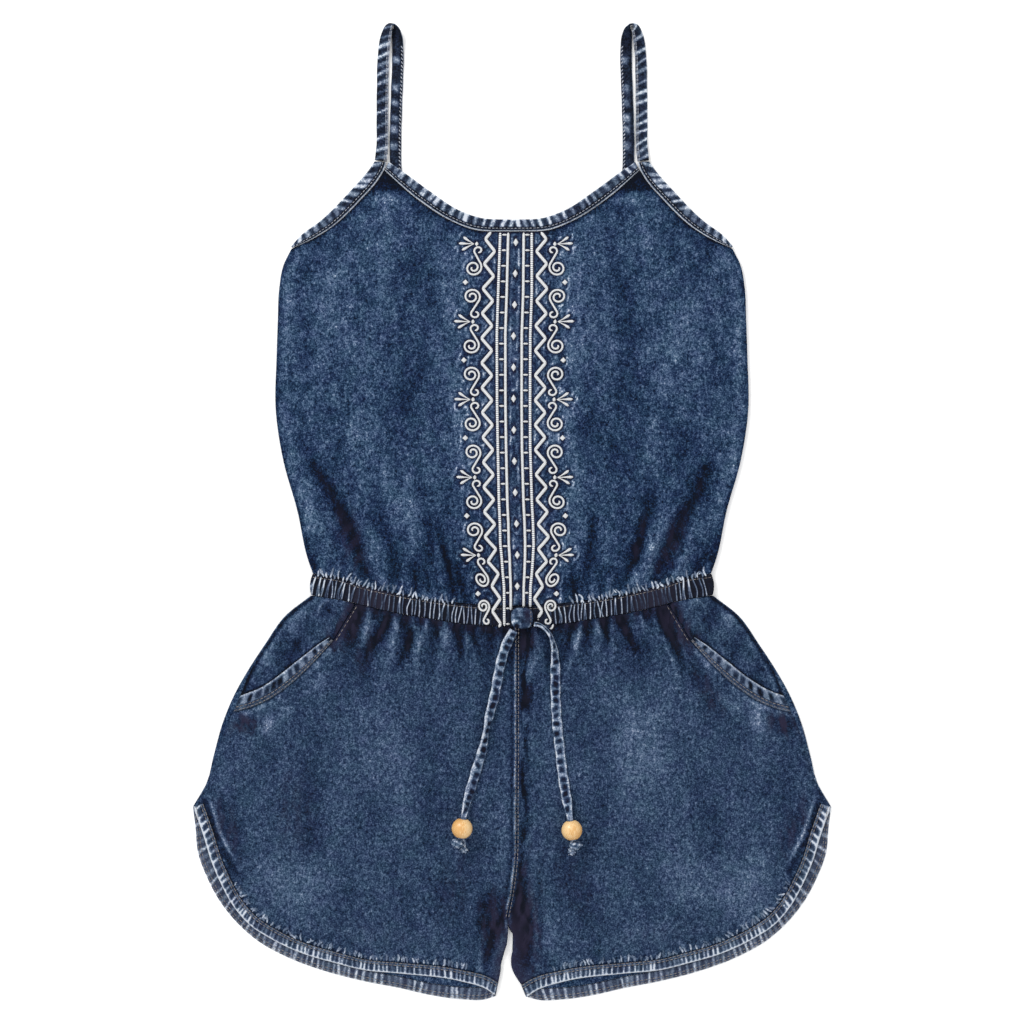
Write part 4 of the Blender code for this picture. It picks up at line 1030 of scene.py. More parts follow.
def makeBodiceFront():
    spec = bodiceFront
    g = cloth["gap"]
    armhole = movedOver(smoothLine(cut["armholeInner"], 70), -g)
    neck = movedOver(smoothLine(cut["neckLower"], 90), -g)
    point = len(armhole) - 1                            # the strap point, where both lines end
    half = np.concatenate([armhole[:-1], ((armhole[-1] + neck[0]) / 2)[None], neck[1:]])
    half[-1, 0] = 0.0
    columns = spec["columns"] // 2
    left = round(columns * lineLength(half[:point + 1]) / lineLength(half))
    half = np.concatenate([resample(half[:point + 1], left), resample(half[point:], columns - left)[1:]])
    top = np.concatenate([half, mirrored(half)[-2::-1]])
    bottom = movedOver(bothHalves(cut["casingTop"], columns), g)
    side = smoothLine(cut["bodiceSide"], 120)
    shares = closerAt(238.0, *spec["rows"])
    side = sampled(side, shares)
    side[0], side[-1] = bottom[0], top[0]
    xy = patch(bottom, top, side, mirrored(side), shares)
    under, edge = frontUnder(xy)
    calm = ease(edge / 9.0)
    rooted, loose = creases(xy, spec["fromWaist"], True), creases(xy, spec["loose"])
    deep = creases(xy, spec["deep"])
    big = rooted + loose + deep
    small = gathers(waistTop, xy, spec["waistGathers"]) + gathers(waistTop, xy, spec["waistFolds"])
    for line in boundEdges(60, 40):
        small = small + gathers(line, xy, spec["neckGathers"]) * 0.6
    slow = swells(xy, 11, 0.35, 16.0, 60.0)
    relief = (big + small + slow) * calm
    # Folds drawn paler on their ridges and darker, browner in their troughs: partly the wash's wear, partly
    # painted light and shade.
    shown = 1.1 * rooted + deep + 0.45 * loose + 0.95 * small + 0.5 * slow
    fade, brownStainAndShade = toneOf(shown * ease(edge / 3.0), *spec["tones"])
    brownStainAndShade = brownStainAndShade * mottled(xy, 12)
    spots, brown = tonePatches(xy, spec["tonePatches"])
    ground, violet = borderGround(xy)
    waistAway = alongAndAway(waistTop, xy)[1]
    fade = fade + spots + ground + 0.35 * bell(waistAway, 7.0) - 0.42 * np.exp(-waistAway / 42.0)
    brownStainAndShade = np.maximum(np.maximum(brownStainAndShade, brown * mottled(xy, 13)), violet)
    # Painted shadow of the neck and armhole bindings on the bodice beside them.
    seam = awayFrom(boundEdges(40, 30), xy)
    fade = fade - 1.0 * bell(seam, 1.3) - 0.35 * bell(seam, 6.0)
    x, y = np.abs(xy[..., 0]), xy[..., 1]
    yoke, worn = spec["yoke"], spec["worn"]
    fade = fade - 0.9 * (bell(x - yoke["x"], yoke["width"]) * ease((y - yoke["from"]) / 4.0)) \
        + 0.55 * bell(x - worn["x"], worn["width"]) * bell(y - worn["y"], worn["height"])
    # Painted shade where the cloth turns down at the side edges, and a paler band 7 mm in.
    sideEdge = awayFrom([turn(smoothLine(cut["bodiceSide"], 30)) for turn in sides.values()], xy)
    fade = fade + 0.2 * bell(sideEdge - 7.0, 4.0) - 0.35 * bell(sideEdge, 2.0)
    upper = raised(xy, np.maximum(under + cloth["wall"] + relief, under + cloth["thinnest"]))
    front = shell("bodice_front_cloth", upper, raised(xy, under), finishes["bodice"], fade, brownStainAndShade)
    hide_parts("front_bodice")
    return front


bodice = makeBodiceFront()
print("front of the bodice")

# folded bindings of the neck and armholes

bindings = {
    "wall": 1.7, "rows": 16, "slot": "bound_denim",
    # tones of its hollows and puckers, of its sewn edge and of the raw edge below that
    "neck": {"pitch": 5.9, "width": 1.6, "lean": 0.9, "seed": 31, "tones": (-0.65, 1.35),
             "sewn": -1.1, "rawEdge": 2.6},
    "armhole": {"pitch": 6.4, "width": 1.8, "lean": 1.0, "seed": 32, "tones": (-0.65, 1.35),
                "sewn": -1.1, "rawEdge": 2.6},
}


# Pressed puckers of a folded band: pale blocks between dark hollows, in a slanting V.
def bandPuckers(s, t, spec, length):
    chance = np.random.default_rng(spec["seed"])
    total, here = np.zeros(np.broadcast(s, t).shape), 1.0
    while here < length:
        size = spec["width"] * chance.uniform(0.7, 1.3)
        lean = spec["lean"] * chance.uniform(0.4, 1.5) * size * (1.6 if here < length / 2 else -1.6)
        total += chance.uniform(0.45, 1.0) * bell(s - here - lean * (t - 0.5), size, 4)
        here += spec["pitch"] * chance.uniform(0.7, 1.3)
    return total


# A strip folded over the edge: its raw side is sewn down at t = 0, its fold is at t = 1.
def makeBinding(node, inner, outer, spec, finish, wall, rows, slot):
    length = lineLength(outer)
    columns = int(length / 3.0) * 4
    inner, outer = resample(inner, columns), resample(outer, columns)
    t = np.linspace(0.0, 1.0, rows + 1)[:, None]
    xy = (1 - t[..., None]) * inner[None] + t[..., None] * outer[None]
    s = np.linspace(0.0, length, columns + 1)[None]
    under = frontUnder(xy)[0]
    puckers = bandPuckers(s, t, spec, length)
    if spec.get("sunk"):
        puckers = 1.0 - np.clip(puckers, 0, 1) * bell(t - 0.63, 0.23, 6)
    puckers = np.clip(puckers, 0, 1)
    free = ease((t - 0.3) / 0.12)
    rounded = np.sqrt(np.clip(1.0 - ((t - 0.55) / 0.47)**6, 0.0, 1.0))
    grooves = bell(t - 0.17, 0.05) + bell(t - 0.33, 0.05)
    height = wall * (0.35 + 0.65 * rounded) - 0.28 * grooves - 0.5 * (1 - puckers) * free * rounded
    upper = raised(xy, under + np.maximum(height, 0.3))
    # Pale puckers between dark hollows, partly the wash's wear and partly painted shade in the hollows; a
    # painted dark line at the foot of the fold; the sewn strip darker, the folded and raw edges pale.
    dark, pale = spec["tones"]
    fade = np.where(t > 0.36, dark + (pale - dark) * puckers, spec["sewn"]) \
        + 0.5 * bell(t - 0.97, 0.07) - 0.5 * bell(t - 0.36, 0.05) + spec["rawEdge"] * bell(t, 0.11, 4)
    band = shell(f"{node}_cloth", upper, raised(xy, under), finish, fade, 0.0)
    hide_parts(node)
    return band


def armholeLines(turn):
    return (turn(smoothLine(cut["armholeInner"] + [cut["armholeTop"]], 60)),
            turn(smoothLine(cut["armholeOuter"], 60)))


def neckLines():
    return bothHalves(cut["neckLower"], 90), bothHalves(cut["neckUpper"], 90)


bound = [finishes["binding"], bindings["wall"], bindings["rows"], bindings["slot"]]
neckBinding = makeBinding("neck_binding", *neckLines(), bindings["neck"], *bound)
armholeBindings = {side: makeBinding(f"armhole_binding_{side}", *armholeLines(turn),
                                     bindings["armhole"], *bound)
                   for side, turn in sides.items()}
print("bindings")

# shoulder straps

strap = {
    "width": 8.2, "wall": 1.5, "levelAfter": 26.0,
    "table": [
        # x, y, tilt: 0 outer face up, 90 on edge, 180 inner face up
        (-92.0, 245.3, 0), (-91.0, 255.0, 0), (-90.9, 275.0, 0), (-90.7, 297.0, 0),
        (-90.3, 316.0, 4), (-89.2, 327.8, 14), (-87.3, 336.2, 32), (-84.3, 340.2, 64),
        (-81.8, 338.8, 108), (-80.7, 334.0, 146), (-80.1, 327.0, 168), (-80.0, 316.0, 177),
        (-80.9, 290.0, 180), (-81.7, 260.0, 180), (-81.5, 235.0, 180), (-80.6, 205.0, 180),
        (-80.4, 180.45, 180)],
    "patches": (316.0, 296.0, 285.5, 276.0, 267.0, 255.5),    # pale places inside, by their Y
    "pitch": 7.6, "seed": {"left": 51, "right": 52}, "slot": "bound_denim",
}


# A strip folded lengthwise round itself and stitched along one edge, where its two edges meet.
def makeStrap(side):
    table = smoothLine(strap["table"], 300)
    tilt = np.clip(table[:, 2], 0.0, 180.0)
    run = np.concatenate([[0.0], np.cumsum(np.linalg.norm(np.diff(table[:, :2], axis=0), axis=1))])
    turned = np.radians(tilt)
    lowest = np.abs(np.sin(turned)) * strap["width"] / 2 + np.abs(np.cos(turned)) * strap["wall"] / 2
    lift = cloth["frontBase"] * ease(1.0 - run / strap["levelAfter"])
    centre = raised(table[:, :2], lowest + lift)
    flip = 1.0 if side == "left" else -1.0
    centre = centre * (flip, 1.0, 1.0)
    across, face = ribbonFrame(centre, tilt if side == "left" else 180.0 - tilt)
    chance = np.random.default_rng(strap["seed"][side])
    # round the strip: 0 and 1 are the stitched edge, 0.5 the folded edge
    p = np.linspace(0.0, 1.0, 25)
    c = np.cos(p * 2 * math.pi)
    c = np.sign(c) * np.abs(c)**0.75
    topFace = np.where(p < 0.5, 1.0, -1.0)
    swell = np.sqrt(np.clip(1.0 - np.abs(c)**5, 0.0, 1.0)) * 0.85 + 0.15 * (np.abs(c) < 0.999)
    total, here = np.zeros((len(run), 25)), 2.0
    while here < run[-1]:
        size, lean = chance.uniform(0.8, 1.9), chance.uniform(1.2, 2.6)
        total += chance.uniform(0.55, 1.0) * bell(run[:, None] - here - lean * c, size, 4)
        here += strap["pitch"] * chance.uniform(0.75, 1.25)
    total = np.clip(total, 0.0, 1.0)
    stitched = bell(c - 0.72, 0.12)[None]
    thick = strap["wall"] / 2 * swell[None] * (0.62 + 0.38 * total * (np.abs(c) < 0.6)) \
        - 0.12 * stitched
    wide = strap["width"] / 2 * c[None] * (1.0 + 0.015 * np.sin(run / 3.1)[:, None])
    sideways = across * flip
    outer = (centre[:, None] + sideways[:, None] * wide[..., None]
             + face[:, None] * (thick * topFace[None])[..., None])
    inner = (centre[:, None] + sideways[:, None] * (wide * 0.93)[..., None]
             + face[:, None] * (thick * topFace[None] * 0.35)[..., None])
    outside = (topFace * flip > 0)[None]
    patches = np.zeros_like(total)
    for place in strap["patches"]:
        at = run[100:][np.abs(table[100:, 1] - place).argmin()]
        patches += chance.uniform(0.7, 1.0) * np.exp(
            -((run[:, None] - at - 0.8 * c) / chance.uniform(2.2, 3.2))**4 - ((c + 0.28) / 0.68)**4)
    # Outside, the raised puckers are drawn pale, partly wear and partly painted highlight; inside, darker
    # with pale patches.
    fade = np.where(outside, -0.85 + 2.1 * total, -0.85 + 1.6 * patches) \
        + bell(c - 0.99, 0.08)[None] + np.where(outside, 0.35, -0.35) * stitched
    fade = fade - 1.2 * (bell(run, 1.6) + bell(run - run[-1], 2.0))[:, None]
    made = shell(f"strap_{side}_cloth", outer, inner, finishes["binding"], fade, 0.0,
                 level=False)
    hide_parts(f"strap_{side}")
    return made, centre, across, run


straps = {side: makeStrap(side) for side in sides}
print("straps")

# elastic waist casing

casing = {
    "stitchShare": 0.84, "curlShare": 0.86, "endBulge": 1.4,
    "closer": (0.26, 80.0),    # how much closer its folds lie in the middle, and how far that reaches
    "front": {"pitch": 3.2, "width": 0.85, "height": 0.9, "seed": 61, "columns": 720, "rows": 20},
    "back": {"pitch": 5.5, "width": 1.3, "height": 0.7, "seed": 62, "columns": 320, "rows": 8},
    "slot": "gathered_denim",
}


def makeCasing(face):
    spec = casing[face]
    columns = spec["columns"] // 2
    bottom, top = bothHalves(cut["casingBottom"], columns), bothHalves(cut["casingTop"], columns)
    t = np.linspace(0.0, 1.0, spec["rows"] + 1)[:, None]
    xy = (1 - t[..., None]) * bottom[None] + t[..., None] * top[None]
    bulge = (casing["endBulge"] * 4 * t * (1 - t))[:, 0]
    xy[:, 0, 0] -= bulge
    xy[:, -1, 0] += bulge
    length = lineLength(bottom)
    s = np.linspace(0.0, length, 2 * columns + 1)[None]
    chance = np.random.default_rng(spec["seed"])
    body, crest = np.zeros((len(t), s.shape[1])), np.zeros((len(t), s.shape[1]))
    here = 1.2
    while here < length - 0.8:
        size = spec["width"] * chance.uniform(0.75, 1.35)
        lean = (0.5 - here / length) * 3.6 + chance.normal(0.0, 0.9)
        curl = chance.normal(0.0, 0.35)
        low, high = chance.uniform(-0.05, 0.05), chance.uniform(0.74, 0.9)
        ends = ease((t - low + 0.1) / 0.12) * ease((high + 0.14 - t) / 0.14)
        off = s - here - lean * (t - 0.4) - curl * np.sin(t * 5.0)
        strength = chance.uniform(0.65, 1.0)
        body += strength * ends * bell(off, size)
        for shift, share in ((0.0, 1.0), (-1.3 * (1.15 - t), chance.choice((0.0, 0.0, 0.7)))):
            crest += share * strength * ends * bell(off - shift, 0.48)
            # and a groove just beside each crest, which the tone below darkens: painted shade
            crest -= 0.3 * share * ends * bell(off - shift - 1.1, 0.5)
        closer, reach = casing["closer"]
        outward = min(abs(here - length / 2) / reach, 1.0)
        here += spec["pitch"] * chance.uniform(0.62, 1.38) * (1.0 - closer + closer * outward)
    if face == "front":
        flat = 1.0 - 0.85 * bell(xy[..., 0] - border["middle"][-1][0], 25.0, 8)
        body, crest = body * flat, crest * flat
    total = 0.75 * body + 0.35 * crest
    pinch = bell(t - casing["stitchShare"], 0.06)
    roll = np.sqrt(np.clip(1.0 - (np.abs(t - 0.46) / 0.56)**4, 0.05, 1.0))
    height = cloth["casingWall"] * (0.45 + 0.55 * roll) * (1 - 0.35 * pinch) + spec["height"] * total
    if face == "front":
        base = cloth["casingBase"]
        upper, lower = raised(xy, base + height), raised(xy, base)
        quiet = 1.0 - 0.4 * bell(np.abs(np.abs(xy[..., 0]) - 98.0), 15.0, 4)
        # Crests of the gathers pale, partly wear and partly painted highlight; the grooves beside them and
        # the ground between dark, with brown-violet painted shade between crests in the quieter stretches.
        fade = -1.0 + (0.2 * body + 2.7 * crest) * quiet
        brownStainAndShade = (1.1 - quiet) * 1.3 * (1 - 0.8 * np.clip(crest, 0, 1))
    else:
        upper, lower = raised(xy, np.minimum(height, cloth["casingWall"])), raised(xy, 0.0)
        # Crests pale and the ground between them dark: partly wear, partly painted light and shade.
        fade, brownStainAndShade = -1.0 + 0.8 * body + 1.3 * crest, 0.0
    made = shell(f"waist_casing_{face}_cloth", upper, lower, finishes["casing"], fade, brownStainAndShade)
    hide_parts(f"waist_casing_{face}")
    return made


casingFront = makeCasing("front")
casingBack = makeCasing("back")
print("waist casing")

# shorts

shortsFront = {
    "columns": 320, "rows": (0.9, 2.9, 26.0, 34.0),
    "fromWaist": {
        "left": [
            ([(-88, -76), (-97, -92), (-105, -108)], 3.2, -1.5),
            ([(-111, -66), (-112, -88), (-116, -107)], 4.0, -1.2),
            ([(-70, -86), (-75, -99), (-83, -114)], 3.0, -1.2), ([(-76, -78), (-80, -90)], 1.6, -0.8),
            ([(-39, -82), (-36, -97), (-33, -111)], 2.0, -1.2),
            ([(-28, -83), (-24, -97), (-20, -113)], 2.4, -1.1),
            ([(-52, -85), (-50, -99)], 1.8, -0.7), ([(-59, -78), (-64, -90), (-67, -103)], 1.8, 0.9),
            ([(-83, -75), (-78, -85), (-75, -92)], 1.6, 0.9), ([(-46, -82), (-46, -99)], 2.6, 0.7),
            ([(-31, -85), (-32, -103)], 2.0, 0.7), ([(-98, -78), (-105, -97), (-109, -113)], 2.4, 0.8),
        ],
        "right": [
            ([(76, -76), (85, -94), (94, -110)], 3.0, -1.3),
            ([(104, -71), (115, -96), (126, -127)], 3.8, -1.3),
            ([(64, -78), (70, -99)], 2.2, -1.1), ([(41, -78), (39, -102)], 2.0, -1.1),
            ([(51, -78), (56, -99)], 1.8, -0.7), ([(59, -78), (66, -94)], 1.8, 0.9),
            ([(47, -82), (45, -103)], 2.6, 0.8), ([(90, -74), (101, -99)], 2.4, 0.8),
            ([(106, -89), (120, -125)], 1.4, 0.8), ([(23, -86), (24, -125)], 3.0, -0.8),
        ],
    },
    "loose": {
        "left": [
            ([(-117, -101), (-120, -118), (-126, -132)], 4.0, -0.8),
            ([(-135, -108), (-133, -127)], 2.6, 0.6),
            ([(-209, -164), (-214, -195)], 3.0, -0.7), ([(-168, -141), (-174, -160)], 4.0, 0.9),
            ([(-120, -146), (-133, -209)], 10.0, -0.6), ([(-90, -125), (-98, -202)], 14.0, 0.6),
            ([(-144, -195), (-137, -258)], 8.0, -0.6), ([(-179, -234), (-164, -272)], 8.0, 0.7),
            ([(-76, -258), (-70, -303)], 6.0, -0.5), ([(-57, -132), (-59, -223)], 12.0, -0.5),
            ([(-14, -260), (-20, -283), (-25, -303)], 5.0, -1.0),
            ([(-3, -276), (-14, -300), (-22, -325)], 3.4, -1.4),
            ([(-20, -303), (-24, -326)], 2.2, 0.9), ([(-9, -296), (-6, -316)], 1.6, 0.8),
            ([(-13, -293), (-10, -312)], 1.2, 0.7),
        ],
        "right": [
            ([(125, -101), (129, -132)], 4.0, -0.8), ([(168, -136), (185, -157)], 4.0, 0.9),
            ([(209, -164), (214, -195)], 3.0, -0.7), ([(118, -146), (130, -209)], 10.0, -0.6),
            ([(90, -125), (97, -202)], 14.0, 0.6), ([(143, -195), (137, -258)], 8.0, -0.6),
            ([(178, -234), (164, -272)], 8.0, 0.7), ([(76, -258), (70, -303)], 6.0, -0.5),
            ([(59, -132), (62, -223)], 12.0, -0.5),
            ([(1, -258), (7, -278), (8, -297), (8, -313), (14, -327)], 6.0, -1.5),
            ([(6, -257), (13, -272), (17, -290), (16, -307), (17, -318), (21, -326)], 1.8, 1.1),
            ([(23, -276), (27, -314)], 4.0, 0.5),
        ],
    },
    "seedShift": {"left": 0, "right": 7}, "tones": (2.5, 2.0),
    "waistGathers": {"pitch": 5.2, "width": 1.0, "height": 0.8, "reach": 15.0, "lean": 0.1, "seed": 15},
    "waistFolds": {"pitch": 12.5, "width": 3.0, "height": 1.7, "reach": 26.0, "lean": 0.14, "seed": 14},
    "hemGathers": {"pitch": 4.6, "width": 1.1, "height": 0.5, "reach": 5.0, "lean": 0.35, "seed": 16},
    "legShade": {"left": 5.0, "right": 10.0},
    "tipRidge": ([(-214.5, -193.0), (-210.5, -205.5), (-207.8, -213.5), (-204.0, -225.7), (-197.6, -238.5),
                  (-190.5, -252.0)], 1.4, 0.8),
    "tonePatches": {
        # x, y, half width, half height, turn, paler, browner
        "left": [(-187.0, -149.0, 9.0, 6.5, 10.0, -0.5, 0.75), (-170.0, -149.0, 4.5, 7.0, 0.0, 0.5, 0.0),
                 (-158.0, -141.0, 9.0, 4.0, 35.0, 0.35, 0.0), (-136.0, -121.0, 10.0, 3.5, 42.0, 0.3, 0.0),
                 (-114.0, -80.0, 7.0, 14.0, -30.0, -0.35, 0.65),
                 (-104.0, -100.0, 6.0, 14.0, -14.0, -0.4, 0.3),
                 (-12.0, -288.0, 8.0, 22.0, -6.0, -0.45, 0.6),
                 (-40.0, -262.0, 12.0, 26.0, -20.0, -0.25, 0.15),
                 (-200.0, -222.0, 7.0, 20.0, 24.0, -0.2, 0.35),
                 (-150.0, -262.0, 34.0, 20.0, 20.0, 0.28, 0.0),
                 (-152.0, -210.0, 14.0, 26.0, 0.0, -0.12, 0.2), (-95.0, -170.0, 30.0, 36.0, 0.0, 0.12, 0.0),
                 (-60.0, -215.0, 8.0, 30.0, 6.0, -0.2, 0.0), (-100.0, -296.0, 30.0, 8.0, -8.0, 0.1, 0.1)],
        "right": [(190.0, -148.0, 10.0, 7.0, -10.0, -0.5, 0.75),
                  (171.0, -147.0, 4.5, 8.0, 0.0, 0.5, 0.0),
                  (150.0, -133.0, 12.0, 4.0, -35.0, 0.35, 0.0),
                  (116.0, -82.0, 7.0, 15.0, 30.0, -0.35, 0.65),
                  (138.0, -128.0, 7.0, 16.0, 25.0, -0.35, 0.35), (10.5, -94.0, 7.0, 9.0, 0.0, -0.6, 0.45),
                  (13.0, -108.0, 3.5, 10.0, -15.0, 0.75, 0.0), (9.0, -130.0, 4.5, 9.0, 0.0, -0.8, 0.2),
                  (10.0, -285.0, 9.0, 32.0, 4.0, -0.6, 0.7), (45.0, -262.0, 12.0, 26.0, 20.0, -0.25, 0.15),
                  (148.0, -262.0, 34.0, 22.0, -20.0, 0.28, 0.0), (92.0, -170.0, 32.0, 44.0, 0.0, 0.26, 0.0),
                  (198.0, -222.0, 7.0, 20.0, -24.0, -0.2, 0.35), (62.0, -205.0, 8.0, 34.0, -6.0, -0.2, 0.0),
                  (100.0, -296.0, 30.0, 8.0, 8.0, 0.1, 0.1)],
    },
    "slot": "washed_denim",
}


def sideLine(face, count):
    table = smoothLine(cut["shortsSide"], count)
    return table[:, :2] + (table[:, 2:] if face == "front" else 0.0) * np.array([1.0, 0.0])


# The free and the sewn edge of a hem, which turn in to their own ends at the inner leg.
def hemLines(side, face, count):
    turn = sides[side]
    outer = smoothLine(cut["frontHem" if face == "front" else "backHem"], count)
    inner = movedOver(outer, cloth["hemWidth"])
    outer, inner = turn(outer), turn(inner)
    nearLeg = np.linspace(0.0, 1.0, count + 1)[:, None] ** cloth["hemBlend"]
    outer = outer + nearLeg * (np.array(cut["innerHemEnd"][side][face]) - outer[-1])
    inner = inner + nearLeg * (np.array(cut["innerLeg"][side][-1]) - inner[-1])
    return outer, inner


def legsEdge(side, rows):
    leg = np.concatenate([smoothLine(cut["innerLeg"][side], 12)[::-1],
                          smoothLine(cut["centreSeam"], 40)[-2::-1]])
    half = cloth["gap"] / 2
    return resample(leg, rows) + (-half if side == "left" else half, 0.0)


def waistEdge(side, start, end, columns):
    line = sides[side](movedOver(smoothLine(cut["casingBottom"], 60), -cloth["gap"]))
    between = (np.abs(line[:, 0]) < abs(start[0]) - 1.0) & (np.abs(line[:, 0]) > abs(end[0]) + 1.0)
    return resample(np.concatenate([start[None], line[between], end[None]]), columns)


def makeShortsFront(side):
    spec, turn, g = shortsFront, sides[side], cloth["gap"]
    columns, shares = spec["columns"], closerAt(262.0, *spec["rows"])
    sewn = hemLines(side, "front", columns - 1)[1]
    seam, lower = smoothLine(cut["pocketSeam"], 20), smoothLine(cut["pocketLower"], 40)
    pocket = movedOver(np.concatenate([seam, lower[1:]]), g)
    below = sideLine("front", 80)
    below = below[below[:, 1] < lower[-1, 1] - 1.0]
    edge = turn(sampled(np.concatenate([pocket, below[1:]])[::-1], shares))
    hem = np.concatenate([edge[:1], movedOver(sewn, inward[side] * g)])
    inner = sampled(legsEdge(side, 200), shares)
    inner[0] = hem[-1]
    waist = waistEdge(side, edge[-1], inner[-1], columns)
    xy = patch(hem, waist, edge, inner, shares)
    under, edgeAway = frontUnder(xy)
    calm = ease(edgeAway / 8.0)
    rooted, loose = creases(xy, spec["fromWaist"][side], True), creases(xy, spec["loose"][side])
    big = rooted + loose
    shift = spec["seedShift"][side]
    small = (gathers(waistBottom, xy, seeded(spec["waistGathers"], shift))
             + gathers(waistBottom, xy, seeded(spec["waistFolds"], shift)))
    hemLine = smoothLine(hem[1:], 80)
    ticks = gathers(hemLine, xy, seeded(spec["hemGathers"], shift))
    slow = swells(xy, 21 + shift, 0.32, 16.0, 55.0)
    points, width, peak = spec["tipRidge"]
    ridge = creases(xy, [(turn(points), width, peak)])
    relief = (big + small + slow) * calm + ticks * ease(edgeAway / 5.0) + ridge
    legCrease = ease((-235.0 - xy[..., 1]) / 20.0) * ease((45.0 - np.abs(xy[..., 0])) / 20.0)
    # Folds drawn paler on their ridges and darker, browner in their troughs: partly the wash's wear, partly
    # painted light and shade.
    shown = 1.7 * rooted + (0.4 + 0.9 * legCrease) * loose + 1.2 * small + 0.3 * slow
    fade, brownStainAndShade = toneOf(shown * ease(edgeAway / 3.0), *spec["tones"])
    brownStainAndShade = brownStainAndShade * mottled(xy, 22)
    spots, brown = tonePatches(xy, spec["tonePatches"][side])

    # painted shade just below the casing and darker over some 25 mm below it; pale ticks along the hem's
    # gathers, partly wear and partly painted highlight, but not by the inner leg
    waistAway = alongAndAway(waistBottom, xy)[1]
    fromLeg = ease(np.abs(hemLine[-1, 0] - xy[..., 0]) / 20.0)
    fade = fade + 1.2 * ticks * fromLeg + spots - 0.55 * bell(waistAway, 6.5) \
        - 0.3 * np.exp(-waistAway / 26.0)
    brownStainAndShade = np.maximum(brownStainAndShade, np.maximum(brown, 0.35 * bell(waistAway, 5.0)) * mottled(xy, 23))
    # A pale ridge towards the leg's tip with painted shade just inside it: partly wear, partly painted
    # light and shade.
    inTip = alongAndAway(turn(smoothLine([(x - 3.5, y - 1.0) for x, y in points], 12)), xy)[1]
    fade = fade + 1.15 * ridge - 0.55 * bell(inTip, 2.4)

    # worn puffs below the pocket's band, and painted shadow lines along the band's sewn edge and the hem's
    s, away = alongAndAway(turn(smoothLine(cut["pocketLower"], 40)), xy)
    puff = np.clip(0.5 + 0.5 * np.sin(s / 1.35 + 1.5 * np.sin(s / 4.7)) + 0.4 * np.sin(s / 9.0), 0.0, 1.2)
    fade = fade + 0.55 * bell(away - 2.2, 2.4) * puff - 0.5 * bell(away, 0.7)
    fade = fade - 0.5 * bell(alongAndAway(hemLine, xy)[1], 0.8)
    seamAway = alongAndAway(turn(seam), xy)[1]
    blot = mottled(xy, 91 + shift)
    brownStainAndShade = np.maximum(brownStainAndShade, 0.5 * blot * bell(seamAway, 8.0))
    fade = fade - 0.5 * blot * bell(seamAway, 9.0)
    legSeam = alongAndAway(smoothLine(cut["innerLeg"][side], 10), xy)[1]
    brownStainAndShade = np.maximum(brownStainAndShade, 0.7 * bell(legSeam, spec["legShade"][side]))

    # pale along the centre seam on the left of it, dark on the right: the seam's ridge worn pale with
    # painted light on its left side, and painted shade with dark wash blots on its right
    centre = alongAndAway(smoothLine(cut["centreSeam"], 30), xy)[1]
    if side == "left":
        worn = 0.6 + 0.4 * np.sin(xy[..., 1] / 3.7 + 2.0 * np.sin(xy[..., 1] / 11.0))
        fade = fade + 1.25 * worn * bell(centre - 1.5, 0.6) - 0.5 * bell(centre - 3.4, 1.4)
    else:
        fade = fade - 0.4 * bell(centre, 1.2) - 0.85 * mottled(xy, 24) * bell(centre - 5.0, 2.8)
    upper = raised(xy, np.maximum(under + cloth["wall"] + relief, under + cloth["thinnest"]))
    made = shell(f"shorts_front_{side}_cloth", upper, raised(xy, under), finishes["shorts"], fade, brownStainAndShade)
    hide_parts(f"shorts_front_{side}")
    return made


shortsMade = {side: makeShortsFront(side) for side in sides}
print("front of the shorts")

hems = {
    "front": {"wall": 1.6, "pitch": 3.3, "width": 0.82, "power": 2, "seed": {"left": 71, "right": 72}},
    "back": {"wall": 1.2, "pitch": 4.4, "width": 1.1, "power": 4, "seed": {"left": 73, "right": 74}},
    "rows": 16, "slot": "hem_denim",
}


